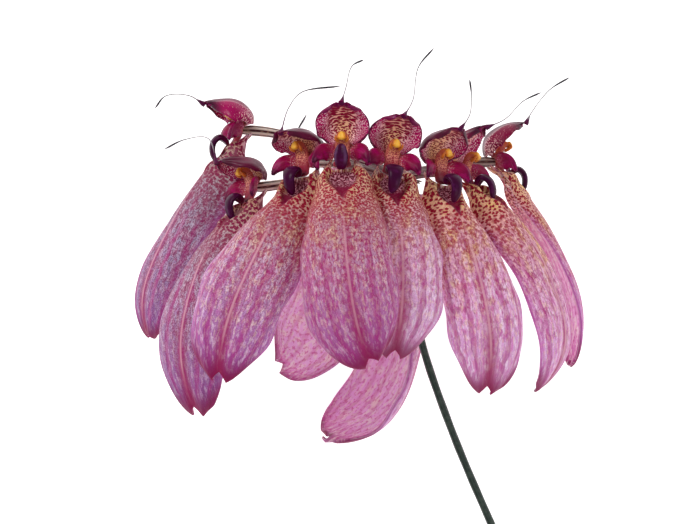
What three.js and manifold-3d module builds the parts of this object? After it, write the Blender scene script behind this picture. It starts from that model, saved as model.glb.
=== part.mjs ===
// A cut umbel of a bulbophyllum orchid, lying on its two back flowers and the cut end of its scape.
// Units are millimetres. +Z is up, away from the surface it lies on; +Y runs from the scape to the
// flowers' hoods, and +X to the right for someone who looks down on it with +Y away from them.
//
// Ten flowers stand on pedicels that meet at one hub. Each flower is a column with its foot, a hooded
// dorsal sepal that ends in a thread, two petals, a hinged lip, and a long tongue of two lateral
// sepals that are joined along one seam. The flowers are worked out from one set of sizes, and the
// table FLOWERS says where each one stands, which way it faces and how its tongue and thread hang.
import * as THREE from "three";
import { mergeVertices } from "three/addons/utils/BufferGeometryUtils.js";
import Module from "manifold-3d";

const wasm = await Module();
wasm.setup();

// ---------------------------------------------------------------- driving sizes

const HUB = [7.1, 30.4, 29.0]; // where the pedicels meet, in the part's own frame
const SURFACE_Z = 0; // the surface that the umbel lies on

const SEPAL_THICK = 0.75; // the fleshy blades
const PETAL_THICK = 0.7;
const SLIVER = 0.03; // a join leaves no face thinner than this

const TONGUE = {
  halfWidth: 9.5, // of the joined lateral sepals, at their widest
  depth: 6.0, // how far their edges fall back from the seam
  rootEnds: 0.06, // share of the length in which it widens out of its root
  mouthEnds: 0.2, // share of the length where the two sepals meet in a V, below the mouth
  notchStarts: 0.96, // share of the length where their two tips part again
  rows: [0, 0.03, 0.06, 0.105, 0.155, 0.2, 0.27, 0.35, 0.45, 0.55, 0.65, 0.75, 0.84, 0.91, 0.96, 1],
  columns: 5, // on each side of the seam
  rimColumn: 2, // the column that runs along the mouth's rim
};
const HOOD = { halfWidth: 4.85, depth: 3.0, edgeAngle: 84, rows: 8, columns: 8 };
const THREAD = { radius: 0.3, sides: 4, steps: 9 };
const PEDICEL = { radius: 0.75, ovaryRadius: 0.95, sides: 6, steps: 7 };
const SCAPE = { radius: 0.95, sides: 8, steps: 12 };

// ---------------------------------------------------------------- the flowers

// at, tongue and thread are offsets from the hub, [x, y, z]. Angles are in degrees.
// face: which way the flower looks, 0 up from the surface and 90 towards +X. nod: forward tilt.
// lean: sideways tilt, towards the flower's right. hood: how far the hood is tipped back. lip: how
// far the lip swings out, and raised, whether it is folded up against the column instead.
// tongue: the two bends and the tip of the seam, which way it faces at its tips, and its share of
// the full width and depth.
const FLOWERS = [
  {
    name: "flower_01",
    at: [-30.4, 10.2, 1.0], face: -80, nod: 0, lean: 0, hood: 0, lip: 0,
    tongue: { bends: [[-39.4, 0, 3.5], [-56, -22, 8], [-48.6, -31.4, 2]], face: -60, width: 0.84, depth: 0.95 },
    thread: [[-41, 17, 4], [-45.5, 16.8, 6], [-47.5, 14.4, 7]],
  },
  {
    name: "flower_02",
    at: [-27.8, -1.4, 12.5], face: -60, nod: 4, lean: -6, hood: 0, lip: 0,
    tongue: { bends: [[-37.6, -11.6, 20.5], [-47, -32, 25], [-38.6, -46.0, 14]], face: -40, width: 0.94, depth: 0.95 },
    thread: [[-36.8, 8.2, 14], [-41.5, 8.0, 12], [-45.4, 6.2, 11]],
  },
  {
    name: "flower_03",
    at: [-17.7, 3.3, 20.5], face: -34, nod: 0, lean: -6, hood: 2, lip: 0,
    tongue: { bends: [[-22.5, -8, 31.6], [-35, -24, 35.6], [-34.2, -39.0, 24.6]], face: -18, width: 0.92, depth: 0.9 },
    thread: [[-20.8, 14.0, 22], [-18.4, 16.8, 23], [-10.8, 18.0, 24]],
  },
  {
    name: "flower_04",
    at: [-10.4, 4.9, 28], face: -4, nod: 0, lean: 0, hood: 32, lip: 0, raised: true,
    tongue: { bends: [[-10.4, -6, 40], [-9.8, -27, 42], [-4.8, -35.6, 30]], face: 2, width: 0.98, depth: 1.0 },
    thread: [[-9.8, 17.4, 30], [-8.6, 21.6, 29], [-6.4, 22.8, 29]],
  },
  {
    name: "flower_05",
    at: [-1.1, 3.6, 23], face: 12, nod: 0, lean: 9, hood: 24, lip: 0,
    tongue: { bends: [[1.0, -9, 30], [2.6, -22, 32], [-0.6, -34.6, 21]], face: 8, width: 0.9, depth: 0.9 },
    thread: [[3.2, 15.5, 24], [4.2, 21.6, 23], [7.2, 25.4, 22]],
  },
  {
    name: "flower_06",
    at: [8.2, 2.0, 15.5], face: 38, nod: 0, lean: 4, hood: 18, lip: 0,
    tongue: { bends: [[13.2, -9, 22], [21.4, -30, 26], [17.4, -41.8, 13]], face: 10, width: 0.8, depth: 0.9 },
    thread: [[14.2, 12.6, 22], [14.5, 16.2, 22], [14.2, 19.4, 21]],
  },
  {
    name: "flower_07",
    at: [13.4, 1.6, 6], face: 66, nod: 0, lean: 0, hood: 28, lip: 20,
    tongue: { bends: [[25, -5, 12], [42.5, -33, 12], [27.9, -41.3, 4]], face: 66, width: 0.72, depth: 0.7 },
    thread: [[21.6, 12.2, 10], [25, 15.6, 10], [28.6, 17.4, 9]],
  },
  {
    name: "flower_08",
    at: [20.0, 4.0, -3.5], face: 96, nod: 0, lean: 0, hood: 17, lip: 0,
    tongue: { bends: [[29.2, -5.4, -4], [42.6, -24, -6], [35.3, -37.1, -6]], face: 100, width: 0.8, depth: 0.45 },
    thread: [[27.4, 14.0, -4], [31, 18.5, -4], [35, 21, -4]],
  },
  {
    name: "flower_09",
    at: [2.0, -8.2, -17.0], face: 124, nod: 6, lean: 0, hood: 0, lip: 0,
    tongue: { bends: [[8.0, -24, -26.5], [2.0, -52, -32], [-14.2, -51.6, -18]], face: 122, width: 0.98, depth: 0.9 },
    thread: [[14, 2, -28.6], [19, 5, -28.6], [24, 4, -28.6]],
  },
  {
    name: "flower_10",
    at: [-9.0, -2.4, -18.5], face: -152, nod: 6, lean: 0, hood: 0, lip: 0,
    tongue: { bends: [[-13.0, -15, -31], [-15.8, -33.6, -32.6], [-23.8, -37.4, -20]], face: -172, width: 0.92, depth: 0.9 },
    thread: [[-17, 6, -28.6], [-20, 10, -28.6], [-18, 14.5, -28.6]],
  },
];

// ---------------------------------------------------------------- small tools

const rad = THREE.MathUtils.degToRad;
const vec = (x, y, z) => new THREE.Vector3(x, y, z);
const fromHub = ([x, y, z]) => vec(HUB[0] + x, HUB[1] + y, HUB[2] + z);

// Keeps a point off the surface below, so that what rests there lies flat on it.
const rested = (p) => vec(p.x, p.y, Math.max(p.z, SURFACE_Z));

// A smooth line through [place, value] stations, read at any place.
function profile(stations) {
  const slope = (i) => {
    const a = stations[Math.max(i - 1, 0)];
    const b = stations[Math.min(i + 1, stations.length - 1)];
    return (b[1] - a[1]) / (b[0] - a[0]);
  };
  return (place) => {
    let i = 0;
    while (i < stations.length - 2 && place > stations[i + 1][0]) i++;
    const [x0, y0] = stations[i];
    const [x1, y1] = stations[i + 1];
    const span = x1 - x0;
    const t = (place - x0) / span;
    const rise = slope(i) * span * (t - 2 * t * t + t ** 3);
    const fall = slope(i + 1) * span * (t ** 3 - t * t);
    return y0 * (1 - 3 * t * t + 2 * t ** 3) + y1 * (3 * t * t - 2 * t ** 3) + rise + fall;
  };
}

// Blades: an open sheet of points, given its thickness along its own normals and closed all round.
// The normals are evened out over their neighbours, so that the back face doesn't cross itself where
// the sheet bends tightly. Both faces are split into triangles alike.
const EVENING = 5;

function thicken(points, quads, thickness) {
  const normals = points.map(() => vec(0, 0, 0));
  for (const [a, b, c, d] of quads) {
    const across = points[c].clone().sub(points[a]);
    const normal = across.cross(points[d].clone().sub(points[b]));
    for (const i of [a, b, c, d]) normals[i].add(normal);
  }
  for (const normal of normals) normal.normalize();
  for (let pass = 0; pass < EVENING; pass++) {
    const evened = normals.map((normal) => normal.clone());
    for (const [a, b, c, d] of quads) {
      for (const [i, j] of [[a, b], [b, c], [c, d], [d, a]]) {
        evened[i].addScaledVector(normals[j], 0.25);
        evened[j].addScaledVector(normals[i], 0.25);
      }
    }
    evened.forEach((normal, i) => normals[i].copy(normal.normalize()));
  }
  const n = points.length;
  const behind = points.map((p, i) => p.clone().addScaledVector(normals[i], -thickness));
  const triangles = [];
  const edges = new Set();
  for (const [a, b, c, d] of quads) {
    triangles.push(a, b, c, a, c, d);
    triangles.push(n + a, n + c, n + b, n + a, n + d, n + c);
    for (const [i, j] of [[a, b], [b, c], [c, d], [d, a]]) edges.add(i + "_" + j);
  }
  for (const edge of edges) {
    const [i, j] = edge.split("_").map(Number);
    if (!edges.has(j + "_" + i)) triangles.push(j, i, n + i, j, n + i, n + j);
  }
  return closedGeometry([...points, ...behind], triangles);
}

// A closed bar along a curve. across(t) gives its half sizes [along side, along top] and top(t) the
// direction of its second size.
function sweep(curve, steps, sides, across, top) {
  const points = [];
  const triangles = [];
  for (let i = 0; i <= steps; i++) {
    const t = i / steps;
    const along = curve.getTangent(t);
    const side = along.clone().cross(top(t)).normalize();
    const over = side.clone().cross(along).normalize();
    const [w, h] = across(t);
    for (let k = 0; k < sides; k++) {
      const a = ((k + 0.5) * 2 * Math.PI) / sides;
      const p = curve.getPoint(t).addScaledVector(side, w * Math.cos(a));
      points.push(p.addScaledVector(over, h * Math.sin(a)));
    }
  }
  const ends = [points.length, points.length + 1];
  points.push(curve.getPoint(0), curve.getPoint(1));
  const last = steps * sides;
  for (let k = 0; k < sides; k++) {
    const m = (k + 1) % sides;
    triangles.push(ends[0], k, m, ends[1], last + m, last + k);
    for (let i = 0; i < last; i += sides) {
      triangles.push(i + k, i + sides + m, i + m, i + k, i + sides + k, i + sides + m);
    }
  }
  return closedGeometry(points, triangles);
}

function closedGeometry(points, triangles) {
  const flat = points.map(rested).flatMap((p) => [p.x, p.y, p.z]);
  const geometry = new THREE.BufferGeometry();
  geometry.setAttribute("position", new THREE.Float32BufferAttribute(flat, 3));
  return geometry.setIndex(triangles);
}

// three.js geometry to a manifold-3d solid and back.
function solidOf(geometry) {
  const bare = geometry.clone();
  bare.deleteAttribute("normal");
  bare.deleteAttribute("uv");
  const merged = mergeVertices(bare, 1e-4);
  const vertProperties = new Float32Array(merged.attributes.position.array);
  const triVerts = new Uint32Array(merged.index.array);
  return new wasm.Manifold(new wasm.Mesh({ numProp: 3, vertProperties, triVerts }));
}

function geometryOf(solid) {
  const { vertProperties, triVerts } = solid.getMesh();
  const geometry = new THREE.BufferGeometry();
  geometry.setAttribute("position", new THREE.BufferAttribute(new Float32Array(vertProperties), 3));
  return geometry.setIndex(new THREE.BufferAttribute(new Uint32Array(triVerts), 1));
}

// Joins solids into one, and drops the slivers that the join leaves along its line.
function fuse(geometries) {
  const joined = geometries.map(solidOf).reduce((a, b) => a.add(b));
  return geometryOf(joined.asOriginal().simplify(SLIVER));
}

// ---------------------------------------------------------------- one flower's own frame

// Local sizes in a flower are [right, up, forward] from the top of its ovary, as seen by someone
// whom the flower faces.
function facing(azimuth) {
  return vec(Math.sin(rad(azimuth)), 0, Math.cos(rad(azimuth)));
}

function headOf(flower) {
  const level = facing(flower.face);
  const nod = rad(flower.nod);
  const forward = level.clone().multiplyScalar(Math.cos(nod)).add(vec(0, -Math.sin(nod), 0));
  const upright = vec(0, Math.cos(nod), 0).addScaledVector(level, Math.sin(nod));
  const across = upright.clone().cross(forward);
  const lean = rad(flower.lean);
  const up = upright.clone().multiplyScalar(Math.cos(lean)).addScaledVector(across, Math.sin(lean));
  const right = up.clone().cross(forward);
  const origin = fromHub(flower.at);
  const turn = ([r, u, f]) =>
    vec(0, 0, 0).addScaledVector(right, r).addScaledVector(up, u).addScaledVector(forward, f);
  return { right, up, forward, origin, turn, place: (p) => turn(p).add(origin) };
}

// A point [right, up, forward] turned about the flower's right, backwards by `degrees`.
function pitched([r, u, f], degrees, [, pivotU, pivotF]) {
  const [c, s] = [Math.cos(rad(degrees)), Math.sin(rad(degrees))];
  const [du, df] = [u - pivotU, f - pivotF];
  return [r, pivotU + du * c + df * s, pivotF + df * c - du * s];
}

// ---------------------------------------------------------------- lateral sepals: the tongue

const tongueWidth = profile([
  [0, 0.46], [0.08, 0.62], [0.18, 0.76], [0.33, 0.88], [0.5, 0.97],
  [0.65, 1.0], [0.78, 0.94], [0.88, 0.73], [0.95, 0.46], [1, 0.2],
]);
const tongueDepth = profile([
  [0, 0.42], [0.06, 0.9], [0.13, 1.2], [0.27, 1.2], [0.45, 1.0], [0.7, 0.8], [0.88, 0.45], [1, 0.1],
]);
// The mouth is a pocket behind the lip, between the two rims: its half width as a share of the
// tongue's, and how deep it lies behind them.
const pocketWidth = profile([[0, 0.5], [0.05, 0.54], [0.1, 0.52], [0.15, 0.38], [TONGUE.mouthEnds, 0.06]]);
const pocketDepth = profile([[0, 2.6], [0.05, 3.6], [0.1, 3.4], [0.15, 2.3], [TONGUE.mouthEnds, 0.1]]);
const TONGUE_BASE = [0, -1.9, 3.0];
// The blade's first row, from the seam to the edge: it runs from under the foot of the column back
// to the ovary, where the sepals grow from.
const TONGUE_ROOT = [
  [0, -3.9, 2.6], [1.0, -3.8, 2.5], [1.9, -3.3, 2.1], [2.1, -2.6, 1.0], [2.1, -1.6, -0.5], [2.1, -0.4, -1.3],
];
// How far the blade is rounded back at its edges, in degrees: less at the narrow tips.
const edgeAngle = profile([[0, 82], [0.78, 82], [0.91, 55], [1, 40]]);
const TIP_INNER = 0.5; // where each tip's inner edge stands, as a share of the half width

// Where a column of the blade stands at u along it, from 0 at the seam to 1 at the edge.
function spread(u, column) {
  const { columns, rimColumn, mouthEnds, notchStarts } = TONGUE;
  if (u <= mouthEnds) {
    const rim = pocketWidth(u);
    if (column <= rimColumn) return (rim * column) / rimColumn;
    return rim + ((1 - rim) * (column - rimColumn)) / (columns - rimColumn);
  }
  const inner = (Math.max(0, u - notchStarts) / (1 - notchStarts)) * TIP_INNER;
  return inner + ((1 - inner) * column) / columns;
}

function pocket(u, v) {
  if (u > TONGUE.mouthEnds) return 0;
  return pocketDepth(u) * Math.max(0, 1 - (v / pocketWidth(u)) ** 2);
}

function lateralSepals(flower) {
  const head = headOf(flower);
  const seam = new THREE.CubicBezierCurve3(head.place(TONGUE_BASE), ...flower.tongue.bends.map(fromHub));
  const last = facing(flower.tongue.face);
  const points = [];
  const place = new Map(); // points on the joined seam are shared by both sides
  const pointAt = (row, side, column) => {
    const u = TONGUE.rows[row];
    const shared = column === 0 && u <= TONGUE.notchStarts;
    const key = row + "_" + (shared ? 0 : side) + "_" + column;
    if (place.has(key)) return place.get(key);
    const along = seam.getTangent(u);
    const outward = head.forward.clone().lerp(last, Math.min(1, u * 1.6));
    outward.addScaledVector(along, -outward.dot(along)).normalize();
    const across = outward.clone().cross(along);
    const v = spread(u, column);
    const arch = rad(edgeAngle(u));
    const width = TONGUE.halfWidth * flower.tongue.width * tongueWidth(u);
    const depth = TONGUE.depth * flower.tongue.depth * tongueDepth(u);
    const sideways = (side * width * Math.sin(v * arch)) / Math.sin(arch);
    const back = (depth * (1 - Math.cos(v * arch))) / (1 - Math.cos(arch)) + pocket(u, v);
    const p = seam.getPoint(u).addScaledVector(across, sideways).addScaledVector(outward, -back);
    const [right, up, forward] = TONGUE_ROOT[column];
    const grown = THREE.MathUtils.smoothstep(u, 0, TONGUE.rootEnds);
    p.lerpVectors(head.place([side * right, up, forward]), p, grown);
    place.set(key, points.length);
    points.push(rested(p));
    return points.length - 1;
  };
  const quads = [];
  for (const side of [-1, 1]) {
    for (let row = 0; row < TONGUE.rows.length - 1; row++) {
      for (let column = 0; column < TONGUE.columns; column++) {
        const quad = [
          pointAt(row, side, column),
          pointAt(row + 1, side, column),
          pointAt(row + 1, side, column + 1),
          pointAt(row, side, column + 1),
        ];
        quads.push(side > 0 ? quad : quad.reverse());
      }
    }
  }
  return thicken(points, quads, SEPAL_THICK);
}

// ---------------------------------------------------------------- dorsal sepal: the hood and its thread

const hoodWidth = profile([
  [0, 0.46], [0.12, 0.74], [0.3, 0.95], [0.5, 1.0], [0.66, 1.0], [0.8, 0.93], [0.91, 0.7], [1, 0.12],
]);
const hoodDepth = profile([[0, 0.2], [0.25, 0.75], [0.5, 1.0], [0.8, 0.8], [1, 0.1]]);
const HOOD_SPINE = [[0, 1.4, -1.4], [0, 4.6, -2.0], [0, 7.0, 2.0], [0, 4.9, 8.2]];

function dorsalSepal(flower) {
  const head = headOf(flower);
  const tipped = HOOD_SPINE.map((p) => head.place(pitched(p, flower.hood, HOOD_SPINE[0])));
  const spine = new THREE.CubicBezierCurve3(...tipped);
  const points = [];
  const quads = [];
  const wide = HOOD.columns + 1;
  const arch = rad(HOOD.edgeAngle);
  for (let row = 0; row <= HOOD.rows; row++) {
    const u = row / HOOD.rows;
    const along = spine.getTangent(u);
    const inward = head.right.clone().cross(along).normalize();
    for (let column = 0; column <= HOOD.columns; column++) {
      const v = (2 * column) / HOOD.columns - 1;
      const sideways = (HOOD.halfWidth * hoodWidth(u) * Math.sin(v * arch)) / Math.sin(arch);
      const fall = (HOOD.depth * hoodDepth(u) * (1 - Math.cos(v * arch))) / (1 - Math.cos(arch));
      const p = spine.getPoint(u).addScaledVector(head.right, sideways).addScaledVector(inward, fall);
      points.push(rested(p));
      const i = row * wide + column;
      if (row < HOOD.rows && column < HOOD.columns) quads.push([i + 1, i + wide + 1, i + wide, i]);
    }
  }
  const apex = spine.getPoint(0.97);
  const line = new THREE.CatmullRomCurve3([apex, ...flower.thread.map(fromHub)]);
  const radius = profile([[0, 0.5], [0.12, THREAD.radius], [0.8, THREAD.radius], [1, THREAD.radius]]);
  const across = (t) => [radius(t), radius(t)];
  const thread = sweep(line, THREAD.steps, THREAD.sides, across, () => vec(0.1, 0.2, 1));
  return fuse([thicken(points, quads, SEPAL_THICK), thread]);
}

// ---------------------------------------------------------------- column, petals and lip

const COLUMN_LINE = [[0, 3.4, 2.7], [0, 3.3, 1.6], [0, 2.2, 0.9], [0, 0.8, 0.6], [0, -1.2, 0.9], [0, -2.8, 2.0]];
const columnHalfDepth = profile([[0, 0.7], [0.2, 0.9], [0.5, 0.8], [0.8, 0.75], [1, 0.6]]);
const columnHalfWidth = profile([[0, 0.75], [0.2, 1.15], [0.45, 1.35], [0.7, 1.4], [1, 1.1]]);
const COLUMN_STEPS = 8;
const COLUMN_SIDES = 6;

function column(flower) {
  const head = headOf(flower);
  const line = new THREE.CatmullRomCurve3(COLUMN_LINE.map(head.place));
  const across = (t) => [columnHalfDepth(t), columnHalfWidth(t)];
  return sweep(line, COLUMN_STEPS, COLUMN_SIDES, across, () => head.right);
}

// Each petal is a short curved blade. The pair is one sheet, joined by the collar that both grow
// from: a strip that leaves each blade's inner edge near its root and passes behind the column.
const PETAL_SPINE = [[1.65, 0.0, 0.6], [2.9, 0.9, 2.2], [4.5, 0.4, 3.3], [5.5, -2.1, 3.8]];
const PETAL_FACE = [-0.45, 0.25, 0.85];
const petalWidth = profile([[0, 1.1], [0.3, 1.75], [0.55, 1.8], [0.8, 1.15], [1, 0.35]]);
const PETAL_ROWS = 5;
const PETAL_COLUMNS = 3;
const PETAL_CUP = 0.6; // how far the blade's edges fall back where it is widest
const PETAL_WIDEST = 1.8;
const COLLAR_LOWER = [[1.2, 1.25, -0.42], [0, 1.3, -0.46]]; // from the root row, to the middle
const COLLAR_UPPER = [[1.35, 2.0, -0.2], [0, 1.98, -0.46]]; // from the next row, to the middle

function petals(flower) {
  const head = headOf(flower);
  const points = [];
  const quads = [];
  const add = (p) => points.push(rested(p)) - 1;
  const middle = [COLLAR_LOWER[1], COLLAR_UPPER[1]].map((p) => add(head.place(p)));
  for (const side of [-1, 1]) {
    const mirrored = ([r, u, f]) => [side * r, u, f];
    const spine = new THREE.CubicBezierCurve3(...PETAL_SPINE.map((p) => head.place(mirrored(p))));
    const face = head.turn(mirrored(PETAL_FACE));
    const grid = []; // rows from the root to the tip, each from the outer edge to the collar's
    for (let row = 0; row <= PETAL_ROWS; row++) {
      const u = row / PETAL_ROWS;
      const along = spine.getTangent(u);
      const across = face.clone().cross(along).normalize();
      const outward = along.clone().cross(across);
      const cup = PETAL_CUP * (petalWidth(u) / PETAL_WIDEST) ** 2;
      grid.push([]);
      for (let k = 0; k <= PETAL_COLUMNS; k++) {
        const v = side * ((2 * k) / PETAL_COLUMNS - 1);
        const p = spine.getPoint(u).addScaledVector(across, v * petalWidth(u));
        grid[row].push(add(p.addScaledVector(outward, -cup * v * v)));
      }
    }
    grid[0].push(add(head.place(mirrored(COLLAR_LOWER[0]))), middle[0]);
    grid[1].push(add(head.place(mirrored(COLLAR_UPPER[0]))), middle[1]);
    for (let row = 0; row < PETAL_ROWS; row++) {
      const [low, high] = [grid[row], grid[row + 1]];
      for (let k = 0; k < Math.min(low.length, high.length) - 1; k++) {
        const quad = [low[k], high[k], high[k + 1], low[k + 1]];
        quads.push(side > 0 ? quad : quad.reverse());
      }
    }
  }
  return thicken(points, quads, PETAL_THICK);
}

const LIP_HINGE = [0, -3.0, 2.8];
const LIP_HANGING = [[0, 0, 0], [0, 1.0, 0.8], [0, 1.5, 1.9], [0, 0.5, 3.0], [0, -1.4, 3.2], [0, -3.5, 2.4]];
const LIP_RAISED = [[0, 0, 0], [0, 0.2, 0.8], [0, 1.3, 1.5], [0, 2.6, 1.7], [0, 3.8, 1.6], [0, 4.8, 1.4]];
const lipHalfWidth = profile([[0, 0.8], [0.2, 1.6], [0.42, 1.85], [0.62, 1.4], [0.9, 1.0], [1, 0.45]]);
const lipHalfDepth = profile([[0, 0.45], [0.3, 0.65], [0.8, 0.6], [1, 0.35]]);
const LIP_STEPS = 9;
const LIP_SIDES = 6;

function lip(flower) {
  const head = headOf(flower);
  const shape = flower.raised ? LIP_RAISED : LIP_HANGING;
  const points = shape.map(([r, u, f]) => [r, u + LIP_HINGE[1], f + LIP_HINGE[2]]);
  const line = new THREE.CatmullRomCurve3(
    points.map((p) => rested(head.place(pitched(p, flower.lip, LIP_HINGE)))),
  );
  const outward = (t) => line.getTangent(t).cross(head.right).negate();
  return sweep(line, LIP_STEPS, LIP_SIDES, (t) => [lipHalfWidth(t), lipHalfDepth(t)], outward);
}

// ---------------------------------------------------------------- pedicels and scape

const OVARY_END = [0, 0, -0.5]; // where the pedicel's ovary meets the back of the column
const HUB_RADIUS = 2.0;
const BRACT = { length: 5.4, halfWidth: 1.3, halfThick: 0.45, drop: 0.35, sides: 4, steps: 3 };

// A small pointed leaf at a pedicel's foot, just below it.
function bract(direction) {
  const away = direction.clone().normalize().add(vec(0, -BRACT.drop, 0)).normalize();
  const reaches = [0.2, 0.6, 1].map((share) => fromHub([0, 0, 0]).addScaledVector(away, share * BRACT.length));
  const narrowing = profile([[0, 1], [0.4, 0.85], [1, 0.12]]);
  const across = (t) => [BRACT.halfWidth * narrowing(t), BRACT.halfThick];
  const line = new THREE.CatmullRomCurve3(reaches);
  const top = vec(0, 1, 0).addScaledVector(away, -away.y).normalize();
  return sweep(line, BRACT.steps, BRACT.sides, across, () => top);
}

function pedicels() {
  const knob = new THREE.SphereGeometry(HUB_RADIUS, 8, 6).translate(...HUB);
  const stalks = FLOWERS.flatMap((flower) => {
    const head = headOf(flower);
    const end = head.place(OVARY_END);
    const start = fromHub([0, 0, 0]);
    const reach = end.distanceTo(start);
    const leave = end.clone().sub(start).setLength(reach * 0.35).add(vec(0, reach * 0.1, 0));
    const arrive = head.place([0, OVARY_END[1], OVARY_END[2] - reach * 0.25]);
    const line = new THREE.CubicBezierCurve3(start, start.clone().add(leave), arrive, end);
    const radius = profile([[0, PEDICEL.radius], [0.55, PEDICEL.radius], [0.85, PEDICEL.ovaryRadius], [1, PEDICEL.ovaryRadius]]);
    const across = (t) => [radius(t), radius(t)];
    return [sweep(line, PEDICEL.steps, PEDICEL.sides, across, () => vec(0.2, 1, 0.3)), bract(leave)];
  });
  return fuse([knob, ...stalks]);
}

const SCAPE_LINE = [[0.2, -2.6, -0.4], [2.2, -16, -3], [5.4, -32, -8.5], [11.6, -50, -16.5], [19.4, -68.4, -24], [27.5, -86, -28.12]];

function scape() {
  const line = new THREE.CatmullRomCurve3(SCAPE_LINE.map(fromHub));
  return sweep(line, SCAPE.steps, SCAPE.sides, () => [SCAPE.radius, SCAPE.radius], () => vec(0, 0, 1));
}

// ---------------------------------------------------------------- the whole umbel

const FINISHES = {
  scape: new THREE.MeshStandardMaterial({ color: "#33412f", roughness: 0.5, metalness: 0 }),
  pedicel: new THREE.MeshStandardMaterial({ color: "#a89a7a", roughness: 0.5, metalness: 0 }),
  lateral: new THREE.MeshStandardMaterial({ color: "#c5669f", roughness: 0.5, metalness: 0 }),
  dorsal: new THREE.MeshStandardMaterial({ color: "#a02c5c", roughness: 0.45, metalness: 0 }),
  petal: new THREE.MeshStandardMaterial({ color: "#8c1450", roughness: 0.4, metalness: 0 }),
  lip: new THREE.MeshStandardMaterial({ color: "#3d1038", roughness: 0.3, metalness: 0 }),
  column: new THREE.MeshStandardMaterial({ color: "#b5542e", roughness: 0.45, metalness: 0 }),
};

const umbel = new THREE.Group();

function add(name, geometry, finish) {
  const mesh = new THREE.Mesh(geometry, finish);
  mesh.name = name;
  umbel.add(mesh);
}

add("scape", scape(), FINISHES.scape);
add("pedicels", pedicels(), FINISHES.pedicel);
for (const flower of FLOWERS) {
  add(flower.name + "_lateral_sepals", lateralSepals(flower), FINISHES.lateral);
  add(flower.name + "_dorsal_sepal", dorsalSepal(flower), FINISHES.dorsal);
  add(flower.name + "_petals", petals(flower), FINISHES.petal);
  add(flower.name + "_lip", lip(flower), FINISHES.lip);
  add(flower.name + "_column", column(flower), FINISHES.column);
}

export default umbel;
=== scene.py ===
# %% [markdown]
# # A cut umbel of a bulbophyllum orchid
#
# Ten flowers stand in a half circle at the top of one thin stem. This lesson dresses the plain
# solids of that umbel: every petal, tongue, hood and thread is built again as a finer mesh, in the
# same place and with the same main form, and gets a material made of nodes.
#
# The first cell loads the solids. They are the fixed frame, so nothing here moves them; each new
# piece stands for one of them.

# %% Load the solids
import math
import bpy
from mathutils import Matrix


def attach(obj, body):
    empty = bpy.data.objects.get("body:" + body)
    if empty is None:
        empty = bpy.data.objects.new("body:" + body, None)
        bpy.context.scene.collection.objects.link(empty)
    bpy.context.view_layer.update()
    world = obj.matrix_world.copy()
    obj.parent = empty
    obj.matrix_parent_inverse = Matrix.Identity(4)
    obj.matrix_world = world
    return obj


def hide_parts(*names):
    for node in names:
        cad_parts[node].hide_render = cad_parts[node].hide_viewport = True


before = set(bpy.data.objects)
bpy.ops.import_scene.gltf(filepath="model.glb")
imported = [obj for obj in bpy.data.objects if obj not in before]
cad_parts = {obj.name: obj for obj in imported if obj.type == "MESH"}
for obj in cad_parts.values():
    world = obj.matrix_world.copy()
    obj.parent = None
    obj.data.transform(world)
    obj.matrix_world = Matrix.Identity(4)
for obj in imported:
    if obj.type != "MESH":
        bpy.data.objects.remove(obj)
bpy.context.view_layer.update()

import types

import bpy
import numpy as np
from mathutils import Vector

MM = 0.001  # m; Blender measures in metres


# %% [markdown]
# ## Smooth lines
#
# A petal is never a straight thing. Its spine is a curve through space, and its width is a curve
# too: narrow at the root, wide in the middle, pointed at the tip. Blender's own curve objects could
# hold them, but here the points are wanted as plain numbers, so the same curves are worked out with
# numpy. `profile` reads a smooth value between a few stations, `bezier` follows four control
# points, and `through` passes through every point it is given.

# %% Smooth values between stations
def profile(stations):
    """Reads a smooth level between stations that are given as (place, level)."""
    x, y = np.array(stations, float).T
    last = len(x) - 1
    before, after = np.maximum(np.arange(len(x)) - 1, 0), np.minimum(np.arange(len(x)) + 1, last)
    slope = (y[after] - y[before]) / (x[after] - x[before])

    def read(place):
        place = np.asarray(place, float)
        i = np.clip(np.searchsorted(x, place) - 1, 0, last - 1)
        span = x[i + 1] - x[i]
        t = (place - x[i]) / span
        level = y[i] * (1 - 3 * t**2 + 2 * t**3) + y[i + 1] * (3 * t**2 - 2 * t**3)
        return level + span * (slope[i] * (t - 2 * t**2 + t**3) + slope[i + 1] * (t**3 - t**2))

    return read


def unit(v):
    return v / np.maximum(np.linalg.norm(v, axis=-1, keepdims=True), 1e-12)


def ease(x, low, high):
    """0 below `low`, 1 above `high`, and a soft step between them."""
    t = np.clip((np.asarray(x, float) - low) / (high - low), 0, 1)
    return t * t * (3 - 2 * t)


def bump(x, centre, width):
    """A soft hill that is 1 high at its centre."""
    return np.exp(-(((x - centre) / width) ** 2))


# %% Curves through space
def bezier(controls, t):
    a, b, c, d = (np.asarray(p, float) for p in controls)
    t = np.asarray(t, float)[:, None]
    point = a * (1 - t) ** 3 + 3 * b * t * (1 - t) ** 2 + 3 * c * t**2 * (1 - t) + d * t**3
    along = 3 * ((b - a) * (1 - t) ** 2 + 2 * (c - b) * t * (1 - t) + (d - c) * t**2)
    return point, unit(along)


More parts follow.
